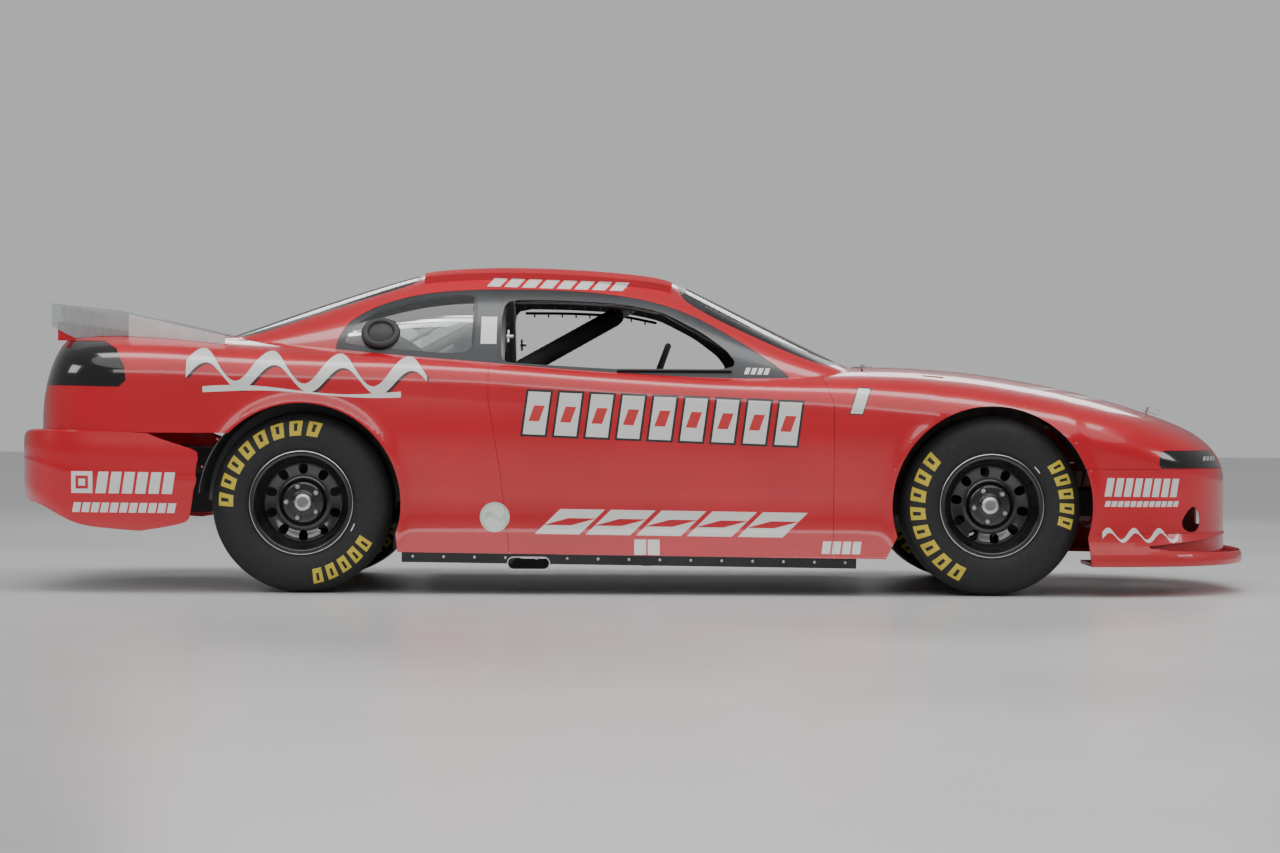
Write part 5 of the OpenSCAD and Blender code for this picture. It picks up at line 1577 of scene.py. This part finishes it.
def seat_place(behind, ahead, y0, y1, z):
    """Four corners of a level pad, set in from the back and the front of the seat."""
    x0, x1 = seat_back_x + behind, seat_front_x - ahead
    return [(x0, seat_y + y0, z), (x1, seat_y + y0, z), (x1, seat_y + y1, z), (x0, seat_y + y1, z)]


pads = [
    cushion("seat_back_pad", [back_point(0.05, -0.15, 0.035), back_point(0.05, 0.15, 0.035),
                              back_point(0.62, 0.145, 0.035), back_point(0.62, -0.145, 0.035)],
            0.034, 0.012, 6),
    cushion("seat_head_pad", [back_point(0.64, -0.082, 0.022), back_point(0.64, 0.082, 0.022),
                              back_point(0.82, 0.075, 0.022), back_point(0.82, -0.075, 0.022)],
            0.036, 0.014),
    cushion("seat_base_pad", seat_place(0.06, 0.01, -0.16, 0.16, 0.292), 0.030, 0.012, 0),
]
for s in (-1, 1):
    y0, y1 = sorted((s * 0.150, s * 0.196))
    pads.append(cushion("seat_bolster_l" if s > 0 else "seat_bolster_r",
                        [back_point(0.10, y0, 0.030), back_point(0.10, y1, 0.030),
                         back_point(0.60, y1, 0.030), back_point(0.60, y0, 0.030)], 0.070, 0.016))
    pads.append(cushion("seat_thigh_l" if s > 0 else "seat_thigh_r",
                        seat_place(0.08, 0.03, y0, y1, 0.290), 0.060, 0.014))
for pad in pads:
    finished(pad, cloth.material, "chassis", "seat_cloth")

# ---- steering wheel --------------------------------------------------------
# A three-spoke wheel: an alloy hub and flat spokes inside a black suede grip.
wheel_centre = np.array([0.060, seat_y, 0.835])
tilt = math.radians(20)
across_axis, up_axis = np.array([0, 1.0, 0]), np.array([math.sin(tilt), 0, math.cos(tilt)])
away_axis = np.array([math.cos(tilt), 0, -math.sin(tilt)])


def on_wheel(r, angle, depth):
    spoke = math.cos(angle) * up_axis + math.sin(angle) * across_axis
    return wheel_centre + r * spoke + depth * away_axis


def grip_ring(r, thick, steps=96, turns=20):
    points, faces = [], []
    for i in range(steps):
        a = 2 * math.pi * i / steps
        for k in range(turns):
            b = 2 * math.pi * k / turns
            swell = thick * (1 + 0.06 * max(0.0, math.cos(2 * a + math.pi)))
            points.append(on_wheel(r + swell * math.cos(b), a, swell * math.sin(b)))
    for i in range(steps):
        for k in range(turns):
            p, q = i * turns, ((i + 1) % steps) * turns
            faces.append((p + k, p + (k + 1) % turns, q + (k + 1) % turns, q + k))
    return softened(solid("tool", points, faces), 60)


spoke_end = 0.158


def spoke(angle):
    """A flat dished arm from the hub to the grip."""
    points = []
    for depth in (0.0, 0.0045):
        for r, half in ((0.020, 0.019), (0.060, 0.014), (0.120, 0.013), (spoke_end, 0.020)):
            points.append(on_wheel(r, angle, depth + 0.002 + 0.010 * (1 - r / spoke_end))
                          + half * (-math.sin(angle) * up_axis + math.cos(angle) * across_axis))
        for r, half in ((spoke_end, 0.020), (0.120, 0.013), (0.060, 0.014), (0.020, 0.019)):
            points.append(on_wheel(r, angle, depth + 0.002 + 0.010 * (1 - r / spoke_end))
                          - half * (-math.sin(angle) * up_axis + math.cos(angle) * across_axis))
    faces = [list(range(8)), [8 + k for k in range(8)][::-1]]
    faces += [(k, (k + 1) % 8, 8 + (k + 1) % 8, 8 + k) for k in range(8)]
    return solid("tool", points, faces)


grip = grip_ring(0.170, 0.0135)
grip.name = "steering_grip"
suede = Finish("grip_suede")
point, x, y, z = suede.place()
nap = suede.noise(point, 160.0, 4.0, 0.6)
suede.close(Base_Color=suede.ramp(nap, (0.3, (0.010, 0.010, 0.010)), (0.8, (0.030, 0.029, 0.028))),
            Roughness=0.7 + 0.2 * nap, Sheen_Weight=0.3, Normal=suede.bump(nap, 0.0004, 0.6))
finished(grip, suede.material, "steering_wheel", "grip_rubber")
spokes = [spoke(math.radians(a)) for a in (90, 210, 330)]
hub = tube([on_wheel(0, 0, 0.0), on_wheel(0, 0, 0.015)], 0.030, 40)
pad = tube([on_wheel(0, 0, -0.012), on_wheel(0, 0, 0.001)], np.array([0.022, 0.026]), 40)
wheel_arms = joined("steering_arms", [*spokes, hub, pad])
alloy_black = metal("anodised_black", (0.012, 0.012, 0.013), (0.030, 0.030, 0.032), 0.28, 0.6)
finished(wheel_arms, alloy_black, "steering_wheel", "cast_metal", "steering_wheel")

# ---- dashboard and column --------------------------------------------------
# A folded sheet panel across the cage, black, with the steering column through it.


def machined(node, material, slot_name, degrees=32):
    """The CAD piece with its loose triangles merged and its curves smoothed, in its own finish."""
    source = frame["nodes"][node]
    made = bpy.data.objects.new(f"{node}_piece", source.data.copy())
    scene.collection.objects.link(made)
    work = bmesh.new()
    work.from_mesh(made.data)
    bmesh.ops.remove_doubles(work, verts=work.verts, dist=2e-6)
    bmesh.ops.dissolve_degenerate(work, dist=2e-6, edges=work.edges)
    work.to_mesh(made.data)
    work.free()
    softened(made, degrees)
    return finished(made, material, body_of(source)[0], slot_name, node)


wrinkle_black = Finish("wrinkle_black")
point, x, y, z = wrinkle_black.place()
crackle = wrinkle_black.noise(point, 300.0, 4.0, 0.7)
smear = wrinkle_black.noise(point, 6.0, 3.0)
wrinkle_black.close(
    Base_Color=wrinkle_black.ramp(smear, (0.3, (0.010, 0.010, 0.011)),
                                  (0.8, (0.022, 0.022, 0.023))),
    Roughness=0.45 + 0.2 * smear, Normal=wrinkle_black.bump(crackle, 0.0004, 0.7))
machined("dashboard", wrinkle_black.material, "black_plastic")

# ---- hinges ----------------------------------------------------------------
# Machined steel eyes and leaves, pinned, under the rear of the hood and the front of the deck.
for node in ("hood_hinges", "deck_hinges", "hinge_leaves"):
    machined(node, bare_steel, "bare_steel")

# ---- spoiler blade and fences ----------------------------------------------
# Clear polycarbonate on edge: the blade is riveted to the deck lid and leans back, and the
# fences follow the deck lips. A bright alloy angle backs the front half of each fence; its
# brightness is partly a painted reflection of the overhead soft box in the fence.
edge_glow = Finish("clear_fence")
point, x, y, z = edge_glow.place()
smudge = edge_glow.noise(edge_glow.stretched(point, (8.0, 8.0, 3.0)), 9.0, 4.0, 0.6)
sheen = edge_glow.node("ShaderNodeFresnel", None, {"IOR": 1.5})
clear = edge_glow.node("ShaderNodeBsdfTransparent", None, {"Color": (0.80, 0.83, 0.83, 1)})
milky = edge_glow.node("ShaderNodeBsdfPrincipled", None,
                       {"Base Color": (0.66, 0.68, 0.69, 1), "Roughness": 0.25})
gloss = edge_glow.node("ShaderNodeBsdfGlossy", None, {"Color": (1, 1, 1, 1), "Roughness": 0.05})
pane = edge_glow.node("ShaderNodeMixShader", None,
                      {"Fac": 0.30 + 0.25 * smudge, 1: clear, 2: milky})
edge_glow.end(edge_glow.node("ShaderNodeMixShader", None, {"Fac": sheen, 1: pane, 2: gloss}))
machined("spoiler_blade", edge_glow.material, "clear_sheet")
machined("side_fences", edge_glow.material, "clear_sheet")
bright_alloy = metal("bright_alloy", (0.74, 0.74, 0.74), (0.88, 0.88, 0.87), 0.30, 0.45,
                     grain=(1, 1, 14))


def skin_z(x, y):
    zs, m = curve(shoulder, x), curve(boxiness, x)
    share = np.clip(1 - (np.abs(y) / side_y(x, zs)) ** m, 0, 1) ** (1 / m)
    return zs + (curve(crown, x) - zs) * share


# The bright plate is partly a painted reflection: it lights the front half of each fence where the
# overhead box shows in it.
for name, side in sides:
    xs = np.linspace(-1.635, -2.025, 14)
    low = np.array([skin_z(px, 0.616 + (px - lip_rear[0]) * math.tan(lip_angle) + 0.02) + 0.002
                    for px in xs])
    top = np.interp(xs, [-2.06, -1.66, -1.60], [1.098, 1.010, 0.996])
    top = np.maximum(top, low + 0.004)
    outline = np.vstack([np.stack([xs, low], axis=1), np.stack([xs, top], axis=1)[::-1]])
    reflection_angle_plate = along_lip("tool", outline, 0.002, 0.0125, side)
    reflection_angle_plate.name = f"{name}_fence_angle"
    finished(reflection_angle_plate, bright_alloy, "chassis", "bare_steel")

# ---- rivets and screws -----------------------------------------------------
# Pop rivets hold the fences to the lips and the blade to the lid, and low screws go round the
# wheel openings and along the skirts. One node tree sets a domed head at each given point.
rivet_tree = bpy.data.node_groups.new("rivet_row", "GeometryNodeTree")
rivet_tree.interface.new_socket("Places", in_out="INPUT", socket_type="NodeSocketGeometry")
rivet_inputs = tree_sockets(rivet_tree, (("Head radius", "NodeSocketFloat", 0.006),
                                         ("Head height", "NodeSocketFloat", 0.0026),
                                         ("Metal", "NodeSocketMaterial", None)))
bench = Bench(rivet_tree)
head = bench("GeometryNodeMeshUVSphere", None, {"Segments": 14, "Rings": 8,
                                                "Radius": bench.given("Head radius")})
flatten = bench("ShaderNodeCombineXYZ")
thin = bench("ShaderNodeMath", {"operation": "DIVIDE"}, {0: bench.given("Head height"),
                                                         1: bench.given("Head radius")})
flatten.inputs[0].default_value = flatten.inputs[1].default_value = 1.0
rivet_tree.links.new(thin.outputs[0], flatten.inputs[2])
squat = bench("GeometryNodeTransform", None,
              {"Geometry": head.outputs[0], "Scale": flatten.outputs[0]})
facing = bench("GeometryNodeInputNamedAttribute", {"data_type": "FLOAT_VECTOR"}, {"Name": "way"})
aim = bench("FunctionNodeAlignRotationToVector", {"axis": "Z"}, {"Vector": facing.outputs[0]})
spots = bench("GeometryNodeInstanceOnPoints", None, {
    "Points": bench.given("Places"), "Instance": squat.outputs[0], "Rotation": aim.outputs[0]})
smooth_heads = bench("GeometryNodeSetShadeSmooth", None, {0: spots.outputs[0]})
bench.finish(smooth_heads.outputs[0], bench.given("Metal"))


def rivets(name, places, facing_way, radius, height, metal_used, body):
    """Domed heads at places, each facing its way, which the points carry as an attribute."""
    places = np.asarray(places, float)
    ways = np.broadcast_to(np.asarray(facing_way, float), places.shape)
    mesh = bpy.data.meshes.new(name)
    mesh.from_pydata([tuple(p) for p in places], [], [])
    carried = mesh.attributes.new("way", "FLOAT_VECTOR", "POINT")
    carried.data.foreach_set("vector", ways.ravel().astype(np.float32))
    carrier = bpy.data.objects.new(name, mesh)
    scene.collection.objects.link(carrier)
    maker = carrier.modifiers.new("maker", "NODES")
    maker.node_group = rivet_tree
    maker[rivet_inputs["Head radius"]] = radius
    maker[rivet_inputs["Head height"]] = height
    maker[rivet_inputs["Metal"]] = metal_used
    graph = bpy.context.evaluated_depsgraph_get()
    made = bpy.data.meshes.new_from_object(carrier.evaluated_get(graph), depsgraph=graph)
    carrier.modifiers.clear()
    carrier.data = made
    made.name = name
    return finished(carrier, metal_used, body, "bare_steel")


def body_way(x, y, z):
    h = 0.001
    way = np.array([body_rise(x + h, y, z) - body_rise(x - h, y, z),
                    body_rise(x, y + h, z) - body_rise(x, y - h, z),
                    body_rise(x, y, z + h) - body_rise(x, y, z - h)], dtype=float)
    return way / np.linalg.norm(way)


paint_dot = Finish("painted_screw")
point, x, y, z = paint_dot.place()
chips = paint_dot.noise(point, 700.0, 3.0)
paint_dot.close(Base_Color=paint_dot.ramp(chips, (0.45, red_deep), (0.62, (0.30, 0.28, 0.27))),
                Roughness=0.35 + 0.2 * chips, Coat_Weight=0.4)
for name, side in sides:
    xs = np.linspace(-2.241, -1.677, 7)
    ys = 0.616 + (xs - lip_rear[0]) * math.tan(lip_angle)
    zs = np.interp(xs, [-2.241, -1.677], [1.037, 0.966])
    lip_way = np.array([-math.sin(lip_angle), math.cos(lip_angle), 0])
    spots_at = [(px, side * (py + 0.0064), pz) for px, py, pz in zip(xs, ys, zs)]
    rivets(f"{name}_lip_rivets", spots_at, (lip_way[0], side * lip_way[1], 0), 0.0062, 0.0028,
           bare_steel, "chassis")
    edge = []
    for axle_x in (front_x, rear_x):
        for a in np.radians(np.linspace(20, 160, 9)):
            px, pz = axle_x + 0.405 * math.cos(a), axle_z + 0.405 * math.sin(a)
            if bumper_seam_x - 0.02 < px and pz > 0.45:
                edge.append((px, side * float(side_y(px, pz)), pz))
    rivets(f"{name}_arch_screws", edge, [body_way(*p) for p in edge], 0.0045, 0.0012,
           paint_dot.material, "chassis")
    along = np.linspace(-0.88, 0.80, 15)
    low_edge = [(px, side * 0.9427, 0.138 - 0.010 * px) for px in along]
    rivets(f"{name}_skirt_bolts", low_edge, (0, side, 0), 0.006, 0.003, bare_steel, "chassis")
blade_ys = np.linspace(-0.50, 0.50, 11)
foot_points = [(-2.2872, float(py), float(skin_z(-2.29, py)) + 0.022) for py in blade_ys]
rivets("blade_rivets", foot_points, (math.cos(math.radians(14)), 0, math.sin(math.radians(14))),
       0.0062, 0.0028, bare_steel, "deck")

# ---- side skirts -----------------------------------------------------------
# Black sheet strips bolted under the sills, close to the ground, notched for the exhaust.
machined("side_skirts", wrinkle_black.material, "black_plastic")

# ---- exhaust ---------------------------------------------------------------
# One oval steel tail pipe leaves under the right door, heat-tinted behind its bright lip.
hot_steel = Finish("tail_pipe_steel")
point, x, y, z = hot_steel.place()
tint = hot_steel.noise(hot_steel.stretched(point, (1.0, 14.0, 1.0)), 2.5, 3.0)
near_lip = hot_steel.node("ShaderNodeMapRange", None,
                          {"Value": abs(y), "From Min": 0.86, "From Max": 0.92})
colour = hot_steel.ramp(tint, (0.25, (0.10, 0.07, 0.05)), (0.5, (0.22, 0.17, 0.14)),
                                (0.75, (0.14, 0.15, 0.20)))
hot_steel.close(Base_Color=hot_steel.blend(near_lip, colour, (0.80, 0.79, 0.77)), Metallic=0.75,
                Roughness=0.22 + 0.2 * tint, Normal=hot_steel.bump(tint, 0.0002, 0.5))
machined("exhaust_pipes", hot_steel.material, "bare_steel")

# ---- floor pan, frame and tanks --------------------------------------------
# Under the body: folded sheet-steel floor and wheel tubs, box-section rails, and the heavy
# blocks that stand for the engine, the drive line, the radiator and the fuel cell.
sheet_grey = metal("zinc_sheet", (0.16, 0.165, 0.17), (0.27, 0.275, 0.28), 0.42, 0.85, 4.0)
rail_paint = metal("frame_enamel", (0.030, 0.031, 0.034), (0.060, 0.062, 0.066), 0.38, 0.0, 6.0,
                   (1, 1, 1), 0.2)
arm_paint = metal("arm_enamel", (0.020, 0.020, 0.022), (0.050, 0.050, 0.052), 0.36, 0.0, 9.0,
                  (1, 1, 1), 0.25)
cast_grey = metal("cast_alloy", (0.20, 0.20, 0.20), (0.36, 0.36, 0.35), 0.48, 0.9, 14.0)
machined("floor_pan", sheet_grey, "sheet_metal")
machined("frame_rails", rail_paint, "frame_paint")
machined("engine", cast_grey, "cast_metal")
machined("drive_line", cast_grey, "cast_metal")
machined("fuel_cell", wrinkle_black.material, "black_plastic")
core = Finish("radiator_core")
point, x, y, z = core.place()
fins = (y % 0.0022) / 0.0022
tubes = within((z % 0.011) / 0.011, 0.0, 0.22)
shade = core.ramp(fins, (0.0, (0.02, 0.02, 0.02)), (0.5, (0.16, 0.16, 0.16)),
                  (1.0, (0.03, 0.03, 0.03)))
core.close(Base_Color=core.blend(tubes, shade, (0.20, 0.20, 0.19)), Metallic=0.7,
           Roughness=0.45 + 0.1 * fins, Normal=core.bump(fins + 2.0 * tubes, 0.0008, 0.7))
machined("radiator", core.material, "cooler_core")

# ---- suspension, axle and knuckles -----------------------------------------
# Fabricated arms and trailing links in dark enamel, a cast rear axle housing and machined
# knuckles whose spindles carry the front wheels.
machined("front_suspension", arm_paint, "arm_paint")
machined("rear_suspension", arm_paint, "arm_paint")
machined("rear_axle", cast_grey, "cast_metal")
machined("left_knuckle", cast_grey, "cast_metal")
machined("right_knuckle", cast_grey, "cast_metal")

# ---- hood and deck pins ----------------------------------------------------
# Spring-wire clips through threaded pins hold the two lids shut: a pin and washer stand on
# the lid's edge, and a stiff wire loop passes through each pin.
wire = metal("spring_wire", (0.30, 0.29, 0.27), (0.50, 0.49, 0.47), 0.25)


def pin_and_clip(name, spot, body):
    x0, y0 = spot
    z0 = float(skin_z(x0, y0))
    way = body_way(x0, y0, z0)
    base = np.array([x0, y0, z0])
    washer = tube([base - 0.001 * way, base + 0.0022 * way], 0.0165, 32)
    post = tube([base, base + 0.030 * way], 0.0052, 16)
    side_way = np.cross(way, (1, 0, 0))
    side_way /= np.linalg.norm(side_way)
    fore_way = np.cross(side_way, way)
    loop = [base + 0.012 * way + fore_way * (-0.018 + 0.060 * u) for u in np.linspace(0, 1, 6)]
    for a in np.linspace(0, 1.55 * math.pi, 22):
        loop.append(base + 0.012 * way + fore_way * (0.042 + 0.012 * math.sin(a))
                    + (0.012 - 0.012 * math.cos(a)) * (0.8 * way + 0.6 * side_way))
    clip = tube(loop, 0.0014, 8, 0)
    made = joined(name, [washer, post, clip])
    return finished(made, wire, body, "bare_steel")


for name, side in sides:
    pin_and_clip(f"{name}_hood_pin", (2.045, side * 0.400), "hood")
    pin_and_clip(f"{name}_deck_pin", (-2.268, side * 0.585), "deck")

# ---- window duct and strut -------------------------------------------------
# A rubber-ringed inlet in the right quarter pane feeds a ribbed hose that runs down and
# forward behind the seat; a light strut with clamps braces the pane behind the door opening.
duct_y = float(cabin_width(duct_x, duct_z)) + 0.0015
up_z, low_z = 1.058, 0.978
tilt_y = float(cabin_width(duct_x, up_z) - cabin_width(duct_x, low_z)) / (up_z - low_z)
out_way = np.array([0.0, -1.0, -tilt_y])
out_way /= np.linalg.norm(out_way)
centre = np.array([duct_x, -duct_y, duct_z])
up_on_pane = np.cross(out_way, (1, 0, 0))
ring_points, ring_faces = [], []
profile = fillet(mm((48, 2), (50, 10), (60, 14), (74, 9), (78, 1), (76, -1)), 2)
inner_profile = mm((60, -3), (48, -10))
section = np.vstack([profile, inner_profile])
steps = 72
for i in range(steps):
    a = 2 * math.pi * i / steps
    spoke_way = math.cos(a) * np.array([1.0, 0, 0]) + math.sin(a) * up_on_pane
    for r, h in section:
        ring_points.append(centre + r * spoke_way + h * out_way)
m = len(section)
for i in range(steps):
    j = (i + 1) % steps
    ring_faces += [(i * m + k, i * m + (k + 1) % m, j * m + (k + 1) % m, j * m + k)
                   for k in range(m)]
duct_ring = softened(solid("tool", ring_points, ring_faces), 50)
duct_ring.name = "duct_ring"
rubber_black = metal("moulded_rubber", (0.010, 0.010, 0.010), (0.026, 0.026, 0.026), 0.45, 0.0,
                     20.0)
finished(duct_ring, rubber_black, "chassis", "grip_rubber")
route = np.array([centre + 0.006 * out_way, centre - 0.07 * out_way, centre + (0.05, 0.13, -0.05),
                  centre + (0.15, 0.20, -0.12), centre + (0.22, 0.26, -0.24)])
smooth_route = fillet(route, 4)
lengths = np.concatenate([[0], np.cumsum(np.linalg.norm(np.diff(smooth_route, axis=0), axis=1))])
at = np.linspace(0, lengths[-1], 200)
hose_line = np.stack([np.interp(at, lengths, smooth_route[:, k]) for k in range(3)], axis=1)
hose = tube(hose_line, 0.0475 + 0.003 * np.sin(at * 2 * math.pi / 0.012), 36, 0)
hose.name = "duct_hose"
finished(hose, rubber_black, "chassis", "grip_rubber")
strut_y = 0.5 * float(cabin_width(-0.80, 1.0) + cabin_width(-0.80, 1.1)) - 0.075
strut = [tube([(-0.915, -strut_y - 0.010, 0.985), (-0.700, -strut_y + 0.040, 1.115)], 0.008, 16)]
for share in (0.3, 0.55, 0.8):
    c = np.array([-0.915, -strut_y - 0.010, 0.985]) + share * np.array([0.215, 0.050, 0.130])
    d = np.array([0.215, 0.050, 0.130]) / np.linalg.norm([0.215, 0.050, 0.130])
    strut.append(tube([c - 0.012 * d, c + 0.012 * d], 0.0125, 20))
window_strut = joined("window_strut", strut)
finished(window_strut, cage_finish, "chassis", "cage_paint")

# ---- door opening fittings -------------------------------------------------
# Inside the right door opening: a black band with hooks for the window net under the roof
# rail, a ledge along the lower edge, and a bright latch on the rear pillar.
for name, side in sides:
    rail_line = [(px, side * (float(cabin_width(px, pz)) - 0.016), pz) for px, pz in
                 ((-0.50, 1.140), (-0.316, 1.140), (-0.08, 1.130), (0.07, 1.100))]
    net_rail = tube(rail_line, 0.006, 14)
    hooks = [net_rail]
    for px in np.linspace(-0.46, 0.02, 9):
        pz = float(np.interp(px, [-0.50, -0.316, -0.08, 0.07], [1.140, 1.140, 1.130, 1.100]))
        py = side * (float(cabin_width(px, pz)) - 0.016)
        hooks.append(tube([(px, py, pz + 0.004), (px, py, pz - 0.018)], 0.0034, 10))
    net = joined(f"{name}_net_rail", hooks)
    finished(net, alloy_black, "chassis", "black_plastic")
    ledge_line = [(px, side * (float(cabin_width(px, 0.872)) + 0.0035), 0.872 + 0.004)
                  for px in np.linspace(-0.09, 0.36, 12)]
    ledge = tube(ledge_line, 0.0050, 14, 0)
    ledge.name = f"{name}_window_ledge"
    finished(ledge, slate.material, "chassis", "window_band")
    latch = joined(f"{name}_pillar_latch", [
        tube([(-0.520, side * (float(cabin_width(-0.52, 0.985)) - 0.010), 0.982),
              (-0.520, side * (float(cabin_width(-0.52, 1.030)) - 0.010), 1.030)], 0.0055, 14),
        tube([(-0.527, side * (float(cabin_width(-0.52, 1.006)) - 0.008), 1.006),
              (-0.500, side * (float(cabin_width(-0.50, 1.006)) - 0.008), 1.006)], 0.008, 16)])
    finished(latch, bare_steel, "chassis", "bare_steel")


# ---- working solids --------------------------------------------------------
# The working solids go.
for tool in [o for o in scene.objects if o.name.split(".")[0] in (
        "skin_solid", "skin_core", "shell", "open_shell", "arch", "cabin_hole", "tool")]:
    bpy.data.objects.remove(tool)
